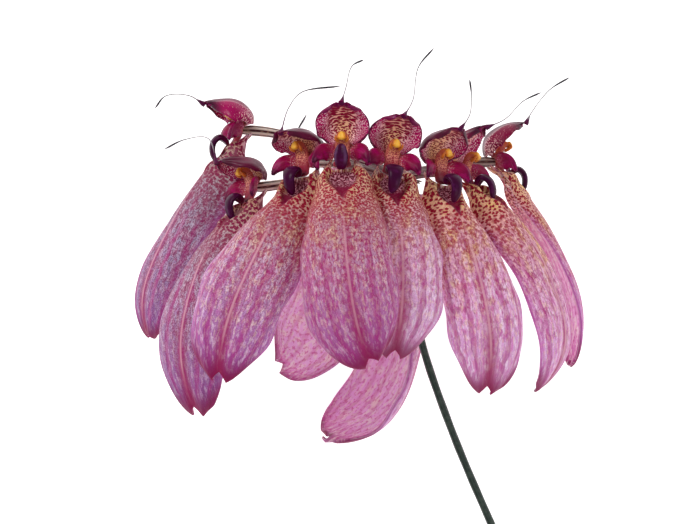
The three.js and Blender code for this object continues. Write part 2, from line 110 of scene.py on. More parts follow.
def through(points, t):
    """A curve through all the points, without loops where they stand unevenly."""
    points = np.asarray(points, float)
    padded = np.vstack([2 * points[0] - points[1], points, 2 * points[-1] - points[-2]])

    def at(place):
        place = np.clip(place, 0, 1) * (len(points) - 1)
        i = np.minimum(place.astype(int), len(points) - 2)
        w = (place - i)[:, None]
        p0, p1, p2, p3 = (padded[i + k] for k in range(4))
        d0, d1, d2 = (np.linalg.norm(b - a, axis=1, keepdims=True) ** 0.5
                      for a, b in ((p0, p1), (p1, p2), (p2, p3)))
        m1 = ((p1 - p0) / d0 - (p2 - p0) / (d0 + d1) + (p2 - p1) / d1) * d1
        m2 = ((p2 - p1) / d1 - (p3 - p1) / (d1 + d2) + (p3 - p2) / d2) * d1
        square, cube = 3 * (p2 - p1) - 2 * m1 - m2, 2 * (p1 - p2) + m1 + m2
        return p1 + m1 * w + square * w**2 + cube * w**3

    t = np.asarray(t, float)
    return at(t), unit(at(t + 1e-4) - at(t - 1e-4))


halfway = bezier([(0, 0, 0), (0, 1, 0), (1, 1, 0), (1, 0, 0)], [0.5])[0][0]
print("an arch from 0 to 1 stands", halfway[1], "high halfway")

# %% [markdown]
# ## Where each flower stands
#
# All ten flowers are the same flower, turned and bent a little differently. So one table holds what
# differs. Places are in millimetres from the hub, where all the stalks meet, and angles in degrees:
#
# - `at` is where the flower stands and `face` the way it looks; `nod` and `lean` tip it.
# - `bends` are the points that lead the tongue's spine, `aim` is the way its face turns to, and
#   `wide` and `deep` compare it with the common tongue. A `calm` tongue has hardly any relief, and
#   a `blunt` one ends rounder and is twisted a little.
# - `hood` is how far the hood is tipped back, `hood_open` how flat it is spread, and `hood_deep`
#   how deep it is beside the common hood.
# - `lip` turns the lip, and `lip_raised` folds it up against the column.
# - `thread` are the points that the hood's thread passes.
# - The paint reads `warm`, how warm the ground colour is; `coarse`, how many spots stand in a
#   millimetre; `speckle`, how finely freckled the skin is; and `pale`, which is below zero where
#   the skin is deeper in colour than the common one, and above zero where the tongue is painted
#   lighter: painted light that lifts the shade on the flowers that lie under others.

# %% The table of flowers
HUB = np.array([7.1, 30.4, 29.0])
COMMON = dict(nod=0, lean=0, calm=False, blunt=False, hood=0, hood_open=0.25, hood_deep=1.0, lip=0,
              lip_raised=False)


def flower(name, **differs):
    """One row of the table: what isn't given is as in the common flower."""
    return {**COMMON, **differs, "name": name, "seed": int(name)}


FLOWERS = [
    flower("01", at=(-30.4, 10.2, 1.0), face=-80, hood_deep=1.4,
           bends=[(-39.4, 0, 3.5), (-56, -22, 8), (-48.6, -31.4, 2)],
           aim=-60, wide=0.84, deep=0.95, calm=True,
           thread=[(-41, 17, 4), (-45.5, 16.8, 6), (-47.5, 14.4, 7)],
           warm=0.0, coarse=1.5, speckle=1.0, pale=-0.06),
    flower("02", at=(-27.8, -1.4, 12.5), face=-60, nod=4, lean=-6,
           bends=[(-37.6, -11.6, 20.5), (-47, -32, 25), (-38.6, -46, 14)],
           aim=-40, wide=0.94, deep=0.95,
           thread=[(-36.8, 8.2, 14), (-41.5, 8, 12), (-45.4, 6.2, 11)],
           warm=0.1, coarse=1.6, speckle=0.9, pale=-0.08),
    flower("03", at=(-17.7, 3.3, 20.5), face=-34, lean=-6, hood=2,
           bends=[(-22.5, -8, 31.6), (-35, -24, 35.6), (-34.2, -39, 24.6)],
           aim=-18, wide=0.92, deep=0.9,
           thread=[(-20.8, 14, 22), (-18.4, 16.8, 23), (-10.8, 18, 24)],
           warm=0.45, coarse=1.8, speckle=0.6, pale=-0.04),
    flower("04", at=(-10.4, 4.9, 28), face=-4, hood=32, hood_open=0.95, lip_raised=True,
           bends=[(-10.4, -6, 40), (-9.8, -27, 42), (-4.8, -35.6, 30)],
           aim=2, wide=0.98, deep=1.0,
           thread=[(-9.8, 17.4, 30), (-8.6, 21.6, 29), (-6.4, 22.8, 29)],
           warm=0.55, coarse=2.2, speckle=0.35, pale=-0.34),
    flower("05", at=(-1.1, 3.6, 23), face=12, lean=9, hood=24, hood_open=0.95,
           bends=[(1, -9, 30), (2.6, -22, 32), (-0.6, -34.6, 21)],
           aim=8, wide=0.9, deep=0.9,
           thread=[(3.2, 15.5, 24), (4.2, 21.6, 23), (7.2, 25.4, 22)],
           warm=0.6, coarse=2.0, speckle=0.3, pale=0.6),
    flower("06", at=(8.2, 2, 15.5), face=38, lean=4, hood=18,
           bends=[(13.2, -9, 22), (21.4, -30, 26), (17.4, -41.8, 13)],
           aim=10, wide=0.8, deep=0.9,
           thread=[(14.2, 12.6, 22), (14.5, 16.2, 22), (14.2, 19.4, 21)],
           warm=0.85, coarse=1.4, speckle=0.2, pale=0.42),
    flower("07", at=(13.4, 1.6, 6), face=66, hood=28, hood_open=0.5, lip=20,
           bends=[(25, -5, 12), (42.5, -33, 12), (27.9, -41.3, 4)],
           aim=66, wide=0.72, deep=0.7,
           thread=[(21.6, 12.2, 10), (25, 15.6, 10), (28.6, 17.4, 9)],
           warm=0.95, coarse=1.5, speckle=0.3, pale=0.36),
    flower("08", at=(20, 4, -3.5), face=96, hood=17, hood_open=0.5,
           bends=[(29.2, -5.4, -4), (42.6, -24, -6), (35.3, -37.1, -6)],
           aim=100, wide=0.8, deep=0.45, calm=True,
           thread=[(27.4, 14, -4), (31, 18.5, -4), (35, 21, -4)],
           warm=1.0, coarse=1.5, speckle=0.4, pale=0.14),
    flower("09", at=(2, -8.2, -17), face=124, nod=6,
           bends=[(8, -24, -26.5), (2, -52, -32), (-14.2, -51.6, -18)],
           aim=122, wide=0.98, deep=0.9, blunt=True,
           thread=[(14, 2, -28.6), (19, 5, -28.6), (24, 4, -28.6)],
           warm=0.6, coarse=1.7, speckle=0.3, pale=0.66),
    flower("10", at=(-9, -2.4, -18.5), face=-152, nod=6,
           bends=[(-13, -15, -31), (-15.8, -33.6, -32.6), (-23.8, -37.4, -20)],
           aim=-172, wide=0.92, deep=0.9,
           thread=[(-17, 6, -28.6), (-20, 10, -28.6), (-18, 14.5, -28.6)],
           warm=0.3, coarse=1.8, speckle=0.4, pale=0.8),
]
print(len(FLOWERS), "flowers round the hub at", HUB, "mm")


# %% A flower's own directions
def facing(azimuth):
    """The level direction at an angle from the camera's side, in degrees."""
    a = math.radians(azimuth)
    return np.array([math.sin(a), 0, math.cos(a)])


class Head:
    """A flower's own directions. A place in it is (right, up, forward) in mm from its origin."""

    def __init__(self, f):
        level, nod, lean = facing(f["face"]), math.radians(f["nod"]), math.radians(f["lean"])
        self.forward = level * math.cos(nod) + np.array([0, -math.sin(nod), 0])
        upright = np.array([0, math.cos(nod), 0]) + level * math.sin(nod)
        self.up = upright * math.cos(lean) + np.cross(upright, self.forward) * math.sin(lean)
        self.right = np.cross(self.up, self.forward)
        self.origin = HUB + f["at"]

    def turn(self, local):
        return np.asarray(local, float) @ np.array([self.right, self.up, self.forward])

    def place(self, local):
        return self.origin + self.turn(local)


def pitched(points, degrees, pivot):
    """Points tipped back round a line from left to right through the pivot."""
    c, s = math.cos(math.radians(degrees)), math.sin(math.radians(degrees))
    points = np.asarray(points, float)
    up, forward = points[:, 1] - pivot[1], points[:, 2] - pivot[2]
    return np.c_[points[:, 0], pivot[1] + up * c + forward * s, pivot[2] + forward * c - up * s]


print("the first flower's forward direction is", np.round(Head(FLOWERS[0]).forward, 2))

# %% [markdown]
# ## From points to a finished piece
#
# A leaf has two faces and a rounded margin. Solidify could give a sheet its thickness, but it makes
# the margin square; here the thickness shrinks towards the margin, as on a real sepal. `shell` puts
# one face on each side of a sheet of points and closes the rim. `sweep` lays rings along a line,
# for the thicker parts. `piece` hands the result to Blender, with a UV map in millimetres called
# `skin` and a few named numbers for each point that the paint will read.

# %% Shells with two faces
SHEET = 0.75  # mm, the full thickness of a sepal
PETAL_SHEET = 0.7  # mm


def rested(points):
    """Nothing goes under the surface that the umbel lies on."""
    return np.c_[points[:, :2], np.maximum(points[:, 2], 0.0)]


def grid_quads(index):
    """One face for each cell of a grid of point numbers."""
    corners = [index[:-1, :-1], index[1:, :-1], index[1:, 1:], index[:-1, 1:]]
    return np.stack(corners, -1).reshape(-1, 4)


def sheet_normals(points, quads, evening=0):
    a, b, c, d = quads.T
    out = np.zeros_like(points)
    face = np.cross(points[c] - points[a], points[d] - points[b])
    for corner in (a, b, c, d):
        np.add.at(out, corner, face)
    out = unit(out)
    for _ in range(evening):
        soft = out.copy()
        for i, j in ((a, b), (b, c), (c, d), (d, a)):
            np.add.at(soft, i, out[j] * 0.25)
            np.add.at(soft, j, out[i] * 0.25)
        out = unit(soft)
    return out


def rounded(margin, over, least):
    """A share of the full thickness: `least` at the margin, and all of it `over` mm further in."""
    return least + (1 - least) * np.sqrt(1 - (1 - np.clip(margin / over, 0, 1)) ** 2)


def shell(points, quads, local, full=SHEET):
    """Both faces of a sheet: `local` is its thickness at each point, centred in the full one."""
    n, points = len(points), rested(points)
    normal = sheet_normals(points, quads, evening=8)
    front = points - normal * ((full - local) / 2)[:, None]
    behind = points - normal * ((full + local) / 2)[:, None]
    edges = np.vstack([quads[:, [k, (k + 1) % 4]] for k in range(4)])
    forwards, backwards = edges[:, 0] * n + edges[:, 1], edges[:, 1] * n + edges[:, 0]
    rim = edges[~np.isin(forwards, backwards)]
    walls = np.c_[rim[:, 1], rim[:, 0], rim[:, 0] + n, rim[:, 1] + n]
    faces = np.vstack([quads, quads[:, ::-1] + n, walls])
    return np.vstack([front, behind]), [list(map(int, q)) for q in faces]


def both_faces(values):
    return np.concatenate([values, values])


def which_face(count):
    """0 at the points of the front face and 1 at those of the back."""
    return np.r_[np.zeros(count), np.ones(count)]


# %% Sweeps and balls
def ring(count, groove=0.0):
    """A cross section: a circle, with a groove pressed into its top where asked."""
    a = (np.arange(count) + 0.5) * 2 * np.pi / count
    over = np.sin(a) - groove * bump(np.cos(a), 0, 0.4) * (np.sin(a) > 0)
    return np.c_[np.cos(a), over]


def sweep(centres, along, top, wide, high, section):
    """Rings along a line, with the line's ends as the last two points."""
    side = unit(np.cross(along, top))
    over = unit(np.cross(side, along))
    section = np.broadcast_to(section, (len(centres), *np.shape(section)[-2:]))
    count = section.shape[1]
    rings = (centres[:, None] + side[:, None] * (wide[:, None] * section[..., 0])[..., None]
             + over[:, None] * (high[:, None] * section[..., 1])[..., None])
    points = np.vstack([rings.reshape(-1, 3), centres[:1], centres[-1:]])
    faces, last = [], (len(centres) - 1) * count
    for k in range(count):
        m = (k + 1) % count
        faces += [[len(points) - 2, k, m], [len(points) - 1, last + m, last + k]]
        faces += [[i + k, i + count + k, i + count + m, i + m] for i in range(0, last, count)]
    return points, faces


def along_sweep(t, count):
    """How far along each point of a sweep lies, its two ends included."""
    return np.r_[np.repeat(t, count), 0, 1]


def round_sweep(values, rings):
    """Values for the points of one ring, the same on every ring, and 0 at the sweep's two ends."""
    return np.r_[np.tile(values, rings), 0, 0]


def ball_grid(rows, count):
    """The angles up and round of a ball's rings, without its two poles."""
    lift = np.linspace(-np.pi / 2, np.pi / 2, rows + 1)[1:-1]
    return np.meshgrid(lift, np.arange(count) * 2 * np.pi / count, indexing="ij")


def ball_faces(rows, count):
    """The faces over a ball's rings, with its two poles as the last two points."""
    low, last, faces = (rows - 1) * count, (rows - 2) * count, []
    for k in range(count):
        m = (k + 1) % count
        faces += [[low, m, k], [low + 1, last + k, last + m]]
        faces += [[i + k, i + m, i + count + m, i + count + k] for i in range(0, last, count)]
    return faces


# %% From shapes to a piece
def fold_out(points, faces):
    """Turns the faces round where the closed shape is inside out."""
    tri = np.array([[f[0], f[i], f[i + 1]] for f in faces for i in range(1, len(f) - 1)])
    a, b, c = points[tri].transpose(1, 0, 2)
    inside_out = np.einsum("ij,ij->i", a, np.cross(b, c)).sum() < 0
    return [f[::-1] for f in faces] if inside_out else faces


def joined(parts):
    """Several shapes as one: each is (points, faces, skin, marks)."""
    points, faces, skin, marks, start = [], [], [], {}, 0
    names = sorted({name for part in parts for name in part[3]})
    for p, f, uv, m in parts:
        points.append(p)
        faces += [[i + start for i in face] for face in fold_out(p, f)]
        skin.append(uv)
        for name in names:
            marks.setdefault(name, []).append(np.broadcast_to(m.get(name, 0.0), (len(p),)))
        start += len(p)
    marks = {name: np.concatenate(values) for name, values in marks.items()}
    return np.vstack(points), faces, np.vstack(skin), marks


def new_object(name, points, edges, faces):
    """Points in mm as a new object in the scene."""
    mesh = bpy.data.meshes.new(name)
    mesh.from_pydata((rested(points) * MM).tolist(), edges, faces)
    made = bpy.data.objects.new(name, mesh)
    bpy.context.scene.collection.objects.link(made)
    return made


def write_mark(mesh, name, values):
    layer = mesh.attributes.new(name, "FLOAT", "POINT")
    layer.data.foreach_set("value", np.ascontiguousarray(values, np.float32))


def piece(name, parts, material):
    points, faces, skin, marks = joined(parts)
    made = new_object(name, points, [], faces)
    mesh = made.data
    corner = np.zeros(len(mesh.loops), np.int32)
    mesh.loops.foreach_get("vertex_index", corner)
    places = skin[corner].astype(np.float32).ravel()
    mesh.uv_layers.new(name="skin").data.foreach_set("uv", places)
    for label, values in marks.items():
        write_mark(mesh, label, values)
    mesh.materials.append(material)
    mesh.shade_smooth()
    return made


def stand_for(made, slot, *nodes):
    """The piece rides on the part's one body and takes the place of the solids that are named."""
    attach(made, "root")
    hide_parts(*nodes)


print("sheets are", SHEET, "and", PETAL_SHEET, "mm thick before their margins get thinner")

# %% [markdown]
# ## Paint, made of nodes
#
# Nothing is painted by hand and no picture is used. A spot, a vein or a freckle comes from a noise
# or a cell pattern that a shader works out for each place. `put` adds one node and fills its
# inputs, and the few helpers after it name the steps that come back all the time: mix two colours,
# blend between two values, read a number that the mesh carries.

# %% Colours, and adding a node
def tone(red, green, blue):
    """An sRGB colour from 0 to 255 as the linear one that a shader wants."""
    shares = [c / 255 for c in (red, green, blue)]
    linear = [s / 12.92 if s <= 10 / 255 else ((s + 0.055) / 1.055) ** 2.4 for s in shares]
    return (*linear, 1.0)


def socket_of(sockets, key):
    """A socket by its identifier, or by its name where that is enough."""
    for s in sockets:
        if s.identifier == key:
            return s
    return sockets[key]


def feed(tree, target, value):
    """Fills an input: with a link from another node, or else with a plain value."""
    if isinstance(value, bpy.types.NodeSocket):
        tree.links.new(value, target)
    else:
        target.default_value = value


def put(tree, kind, inputs=None, **settings):
    made = tree.nodes.new(kind)
    for key, value in settings.items():
        setattr(made, key, value)
    for key, value in (inputs or {}).items():
        feed(tree, socket_of(made.inputs, key), value)
    return made


# %% Steps that come back all the time
def mix(tree, share, under, over):
    node = put(tree, "ShaderNodeMix", data_type="RGBA",
               inputs={"Factor_Float": share, "A_Color": under, "B_Color": over})
    return socket_of(node.outputs, "Result_Color")


def calc(tree, operation, *values):
    node = put(tree, "ShaderNodeMath", operation=operation)
    for target, value in zip(node.inputs, values):
        feed(tree, target, value)
    return node.outputs[0]


def between(tree, value, low, high, start=0.0, end=1.0):
    """Eases from `start` to `end` while the value goes from `low` to `high`."""
    node = put(tree, "ShaderNodeMapRange", interpolation_type="SMOOTHSTEP", inputs={
        "Value": value, "From Min": low, "From Max": high, "To Min": start, "To Max": end})
    return node.outputs["Result"]


def band(tree, value, rise, full, fade, end):
    """1 between `full` and `fade`, easing to 0 outside."""
    return calc(tree, "MULTIPLY", between(tree, value, rise, full),
                between(tree, value, fade, end, 1.0, 0.0))


def times(tree, *values):
    out = values[0]
    for value in values[1:]:
        out = calc(tree, "MULTIPLY", out, value)
    return out


def ramp(tree, value, stops):
    node = put(tree, "ShaderNodeValToRGB", inputs={"Fac": value})
    made = node.color_ramp.elements
    while len(made) < len(stops):
        made.new(1.0)
    for stop, (place, colour) in zip(made, stops):
        stop.position, stop.color = place, colour
    return node.outputs["Color"]


def mark(tree, name):
    """A number that the mesh carries at each point."""
    return put(tree, "ShaderNodeAttribute", attribute_name=name).outputs["Fac"]


def skin_place(tree, stretch=None):
    """The place on the skin in mm; a scale under 1 draws a pattern out along that direction."""
    uv = put(tree, "ShaderNodeUVMap", uv_map="skin").outputs["UV"]
    if stretch is None:
        return uv
    return put(tree, "ShaderNodeMapping", inputs={"Vector": uv, "Scale": stretch}).outputs["Vector"]


# %% Starting and finishing a material
def new_material(name):
    made = bpy.data.materials.new(name)
    made.use_nodes = True
    made.node_tree.nodes.clear()
    return made, made.node_tree


def finish_material(tree, colour, roughness, normal, **others):
    """The shader itself. What is the same all over goes straight onto its own sockets."""
    surface = put(tree, "ShaderNodeBsdfPrincipled", inputs={
        "Base Color": colour, "Roughness": roughness, "Normal": normal,
        "Specular IOR Level": 0.16, "Subsurface Radius": (0.9, 0.5, 0.7)})
    for key, value in others.items():
        feed(tree, surface.inputs[key.replace("_", " ")], value)
    out = put(tree, "ShaderNodeOutputMaterial")
    tree.links.new(surface.outputs["BSDF"], out.inputs["Surface"])


print("a tone of 128 is", round(tone(128, 128, 128)[0], 3), "in linear light")

# %% [markdown]
# ## Four effects that several parts share
#
# The spots of this orchid are made the same way everywhere: cells, some filled and some left open.
# Built once as a node group, the effect goes into each material with its own size and colours. The
# same is done for the soft clouds of colour, for the fine lengthwise nerves, and for the small
# glistening cells of the skin, which only change the surface's normal.

# %% A group, and placing it in a material
def group(name, inputs, output):
    tree = bpy.data.node_groups.new(name, "ShaderNodeTree")
    for label, kind, value in inputs:
        kind = "NodeSocket" + kind
        made = tree.interface.new_socket(name=label, in_out="INPUT", socket_type=kind)
        if value is not None:
            made.default_value = value
    label, kind = output
    tree.interface.new_socket(name=label, in_out="OUTPUT", socket_type="NodeSocket" + kind)
    given, result = tree.nodes.new("NodeGroupInput"), tree.nodes.new("NodeGroupOutput")
    return tree, given.outputs, result.inputs[label]


def effect(tree, made, **inputs):
    node = put(tree, "ShaderNodeGroup", node_tree=made)
    for key, value in inputs.items():
        feed(tree, node.inputs[key.replace("_", " ")], value)
    return node.outputs[0]


def cells_2d(tree, place, per_mm):
    return put(tree, "ShaderNodeTexVoronoi", voronoi_dimensions="2D", feature="F1",
               inputs={"Vector": place, "Scale": per_mm}).outputs["Distance"]


def noise_2d(tree, place, per_mm, **others):
    return put(tree, "ShaderNodeTexNoise", noise_dimensions="2D",
               inputs={"Vector": place, "Scale": per_mm, **others})


# %% Spots and clouds
def make_spots():
    tree, given, result = group("spots", [
        ("Place", "Vector", None), ("Ground", "Color", None), ("Spot", "Color", None),
        ("Share", "Float", 1.0), ("Cells per mm", "Float", 1.5), ("Cover", "Float", 0.4),
        ("Softness", "Float", 0.08), ("Wobble", "Float", 0.35)], ("Color", "Color"))
    per_mm, cover, softness = given["Cells per mm"], given["Cover"], given["Softness"]
    shake = noise_2d(tree, given["Place"], calc(tree, "MULTIPLY", per_mm, 1.3), Detail=1.0)
    reach = calc(tree, "DIVIDE", calc(tree, "MULTIPLY", given["Wobble"], 2.0), per_mm)
    shift = put(tree, "ShaderNodeVectorMath", operation="SUBTRACT",
                inputs={0: shake.outputs["Color"], 1: (0.5, 0.5, 0.5)})
    shift = put(tree, "ShaderNodeVectorMath", operation="SCALE",
                inputs={0: shift.outputs[0], "Scale": reach})
    place = put(tree, "ShaderNodeVectorMath", operation="ADD",
                inputs={0: given["Place"], 1: shift.outputs[0]})
    filled = between(tree, cells_2d(tree, place.outputs[0], per_mm),
                     calc(tree, "SUBTRACT", cover, softness), calc(tree, "ADD", cover, softness),
                     1.0, 0.0)
    share = times(tree, filled, given["Share"])
    tree.links.new(mix(tree, share, given["Ground"], given["Spot"]), result)
    return tree


def make_clouds():
    tree, given, result = group("clouds", [
        ("Place", "Vector", None), ("Ground", "Color", None), ("Cloud", "Color", None),
        ("Share", "Float", 1.0), ("Per mm", "Float", 0.6), ("From", "Float", 0.45),
        ("To", "Float", 0.6)], ("Color", "Color"))
    noise = noise_2d(tree, given["Place"], given["Per mm"], Detail=3.0, Roughness=0.6)
    filled = between(tree, noise.outputs["Fac"], given["From"], given["To"])
    share = times(tree, filled, given["Share"])
    tree.links.new(mix(tree, share, given["Ground"], given["Cloud"]), result)
    return tree


# %% Nerves and skin cells
def make_nerves():
    tree, given, result = group("nerves", [
        ("Place", "Vector", None), ("Across", "Float", 0.0), ("Ground", "Color", None),
        ("Nerve", "Color", None), ("Share", "Float", 1.0), ("Count", "Float", 5.0),
        ("Sharpness", "Float", 0.6)], ("Color", "Color"))
    waver = noise_2d(tree, given["Place"], 0.25, Detail=2.0)
    moved = calc(tree, "ADD", calc(tree, "ABSOLUTE", given["Across"]),
                 times(tree, calc(tree, "SUBTRACT", waver.outputs["Fac"], 0.5), 0.12))
    wave = calc(tree, "COSINE", times(tree, moved, given["Count"], 2 * math.pi))
    line = between(tree, wave, given["Sharpness"], 1.0)
    share = times(tree, line, given["Share"])
    tree.links.new(mix(tree, share, given["Ground"], given["Nerve"]), result)
    return tree


def make_skin_cells():
    tree, given, result = group("skin cells", [
        ("Place", "Vector", None), ("Cells per mm", "Float", 5.0)], ("Height", "Float"))
    domes = calc(tree, "SUBTRACT", 1.0, cells_2d(tree, given["Place"], given["Cells per mm"]))
    swell = noise_2d(tree, given["Place"], 1.2, Detail=3.0).outputs["Fac"]
    tree.links.new(calc(tree, "ADD", times(tree, domes, 0.5), swell), result)
    return tree


def grain(tree, place, per_mm, strength):
    """The skin's normal, from its cells. They stand up by at most a twentieth of a millimetre."""
    height = effect(tree, SKIN_CELLS, Place=place, Cells_per_mm=per_mm)
    bumps = {"Strength": strength, "Distance": 0.05 * MM, "Height": height}
    return put(tree, "ShaderNodeBump", inputs=bumps).outputs["Normal"]


SPOTS, CLOUDS, NERVES, SKIN_CELLS = make_spots(), make_clouds(), make_nerves(), make_skin_cells()
print("effects:", [tree.name for tree in (SPOTS, CLOUDS, NERVES, SKIN_CELLS)])

# %% [markdown]
# ## The joined lateral sepals: the tongue
#
# The big pink tongue of each flower is two sepals, joined along one seam and parted again at their
# two tips. It could be sculpted from a plane, but its shape follows a rule: a spine, a width and a
# depth along it, and an arch across it. So every point is worked out from how far it lies along the
# tongue (`u`) and how far across (`v`). Close to the flower's foot the two margins don't meet yet:
# between them lies the mouth, a pocket with a raised rim.
#
# Low relief goes on top: the seam's ridge, the valley that it lies in, the nerves, and a margin
# that waves a little.

# %% The tongue's measures
TONGUE_HALF_WIDTH, TONGUE_DEPTH, TONGUE_LENGTH = 9.5, 6.0, 48  # mm, the common tongue's
TONGUE_BASE = (0, -1.9, 3.0)
MOUTH_ENDS, NOTCH_STARTS = 0.2, 0.96  # how far along
MOUTH_COLUMNS = 0.4  # the share of the columns that the mouth gets beside the foot
TIPS = {False: (0.5, 0.6), True: (0.16, 0.3)}  # where a parted tip lies across, common and blunt
BLUNT_TWIST = 9  # degrees
SIDE_ON = 50  # degrees: flowers that are turned further have a shallower mouth
to_the_end = [(0, 0.46), (0.08, 0.62), (0.18, 0.76), (0.33, 0.88), (0.5, 0.97), (0.65, 1.0)]
tongue_width = profile(to_the_end + [(0.78, 0.96), (0.88, 0.8), (0.95, 0.56), (1, 0.26)])
blunt_width = profile(to_the_end + [(0.78, 0.97), (0.88, 0.86), (0.95, 0.62), (0.98, 0.4),
                                    (1, 0.16)])
tongue_depth = profile([(0, 0.42), (0.06, 0.9), (0.13, 1.2), (0.27, 1.2), (0.45, 1.0), (0.7, 0.8),
                        (0.88, 0.45), (1, 0.1)])
edge_angle = profile([(0, 82), (0.78, 82), (0.91, 55), (1, 40)])
mouth_width = profile([(0, 0.5), (0.05, 0.5), (0.1, 0.38), (0.15, 0.2), (MOUTH_ENDS, 0.04)])
mouth_depth = profile([(0, 2.6), (0.05, 3.1), (0.1, 2.5), (0.15, 1.3), (MOUTH_ENDS, 0.1)])
ROOT = np.array([(0, -3.9, 2.6), (1.0, -3.8, 2.5), (1.9, -3.3, 2.1), (2.1, -2.6, 1.0),
                 (2.1, -1.6, -0.5), (2.1, -0.4, -1.3)])
root_line = [profile(list(zip(np.linspace(0, 1, len(ROOT)), ROOT[:, k]))) for k in range(3)]
TONGUE_ROWS = np.r_[np.linspace(0, 0.24, 40, endpoint=False),  # close rows round the mouth
                    np.linspace(0.24, 0.94, 70, endpoint=False),
                    np.linspace(0.94, 1, 19)]  # and again at the tips
TONGUE_COLUMNS = 26
print(len(TONGUE_ROWS), "rows along a tongue,", 2 * TONGUE_COLUMNS + 1, "points across")


# %% The tongue's form
def tongue_lines(f, head, u):
    """The seam, and the ways outwards and across at each of its points."""
    seam, along = bezier([head.place(TONGUE_BASE)] + [HUB + b for b in f["bends"]], u)
    turn = np.minimum(1, u * 1.6)[:, None]
    twist = BLUNT_TWIST if f["blunt"] else 0
    aim = np.radians(f["aim"] + twist * ease(u, 0.5, 0.95))[:, None]
    aimed = np.concatenate([np.sin(aim), 0 * aim, np.cos(aim)], 1)
    outward = head.forward * (1 - turn) + aimed * turn
    outward = unit(outward - along * np.einsum("ij,ij->i", outward, along)[:, None])
    return seam, outward, np.cross(outward, along)


def tongue_grid():
    """u and v over one sepal. The mouth gets its own columns, and the end parts into a tip."""
    u, c = np.meshgrid(TONGUE_ROWS, np.linspace(0, 1, TONGUE_COLUMNS + 1), indexing="ij")
    mouth = mouth_width(np.minimum(u, MOUTH_ENDS))
    rim = mouth + (MOUTH_COLUMNS - mouth) * ease(u, 0.12, 0.34)
    v = np.where(c <= MOUTH_COLUMNS, rim * c / MOUTH_COLUMNS,
                 rim + (1 - rim) * (c - MOUTH_COLUMNS) / (1 - MOUTH_COLUMNS))
    return u, v, c


def tongue_side(f, head, side):
    """One sepal: its points and grid, and u, v, the mouth's share, the skin and the half width."""
    u, v, c = tongue_grid()
    parted = np.clip((u - NOTCH_STARTS) / (1 - NOTCH_STARTS), 0, 1)
    inner, outer = TIPS[f["blunt"]]
    v = v * (1 - parted) + (inner + (outer - inner) * v) * parted
    shape, u, v, c = u.shape, u.ravel(), v.ravel(), c.ravel()
    low = np.minimum(u, MOUTH_ENDS)
    seam, outward, across = tongue_lines(f, head, u)
    w = TONGUE_HALF_WIDTH * f["wide"] * (blunt_width if f["blunt"] else tongue_width)(u)
    arch = np.radians(edge_angle(u))
    pocket = mouth_depth(low) * np.maximum(0, 1 - (v / mouth_width(low)) ** 2) * (u <= MOUTH_ENDS)
    pocket *= 1.0 if abs(f["face"]) < SIDE_ON else 0.5
    sideways = side * w * np.sin(v * arch) / np.sin(arch)
    back = TONGUE_DEPTH * f["deep"] * tongue_depth(u) * (1 - np.cos(v * arch)) / (1 - np.cos(arch))
    points = seam + across * sideways[:, None] - outward * (back + pocket)[:, None]
    grown = ease(u, 0, 0.06)[:, None]
    root = head.place(np.c_[side * root_line[0](c), root_line[1](c), root_line[2](c)])
    points = root * (1 - grown) + points * grown
    shoulder = bump(u, 0.06, 0.045) * ease(v, 0.35, 0.6) * (1 - 0.6 * ease(v, 0.85, 1))
    points += head.up * (1.3 * shoulder)[:, None]
    skin = np.c_[side * v * w * 1.25, u * TONGUE_LENGTH + 61 * f["seed"]]
    return points, shape, u, side * v, pocket / 3.6, skin, w


# %% The tongue's relief
def tongue_relief(f, u, v, w):
    """How far the skin stands out of the plain arch, in mm."""
    mm, across, phase = np.abs(v) * w, np.abs(v), f["seed"] * 1.7
    swell, wave = (0.05, 0.2) if f["calm"] else (0.5, 0.35)
    past_mouth = ease(u, 0.1, 0.3)
    seam = ease(u, 0.2, 0.34) * (1 - ease(u, 0.9, 0.97))
    out = 0.3 * bump(mm, 0, 0.35) * seam - 0.35 * bump(mm, 0, 1.5) * seam * (0.4 + u)
    out += swell * np.sin(np.pi * np.clip(across, 0, 1)) * (0.15 + 0.85 * u) * past_mouth
    for place, deep in ((0.3, 0.16), (0.5, 0.12), (0.72, 0.18)):
        furrow = bump(across, place + 0.02 * np.sin(5 * u + phase), 0.045)
        out -= deep * furrow * ease(u, 0.14, 0.4) * (1 - ease(u, 0.85, 1))
    out += 0.16 * np.sin(11 * u + 4 * v + phase) * np.sin(6 * v - 7 * u + phase) * past_mouth
    ripple = np.sin(2 * np.pi * (3.2 * u + 0.3 * phase) + np.sign(v))
    out += wave * ripple * ease(across, 0.72, 1) * ease(u, 0.12, 0.3)
    rim = bump(across, mouth_width(np.minimum(u, MOUTH_ENDS)), 0.06)
    return out + 0.35 * rim * (1 - ease(u, 0.16, 0.21)) * ease(u, 0.01, 0.05)


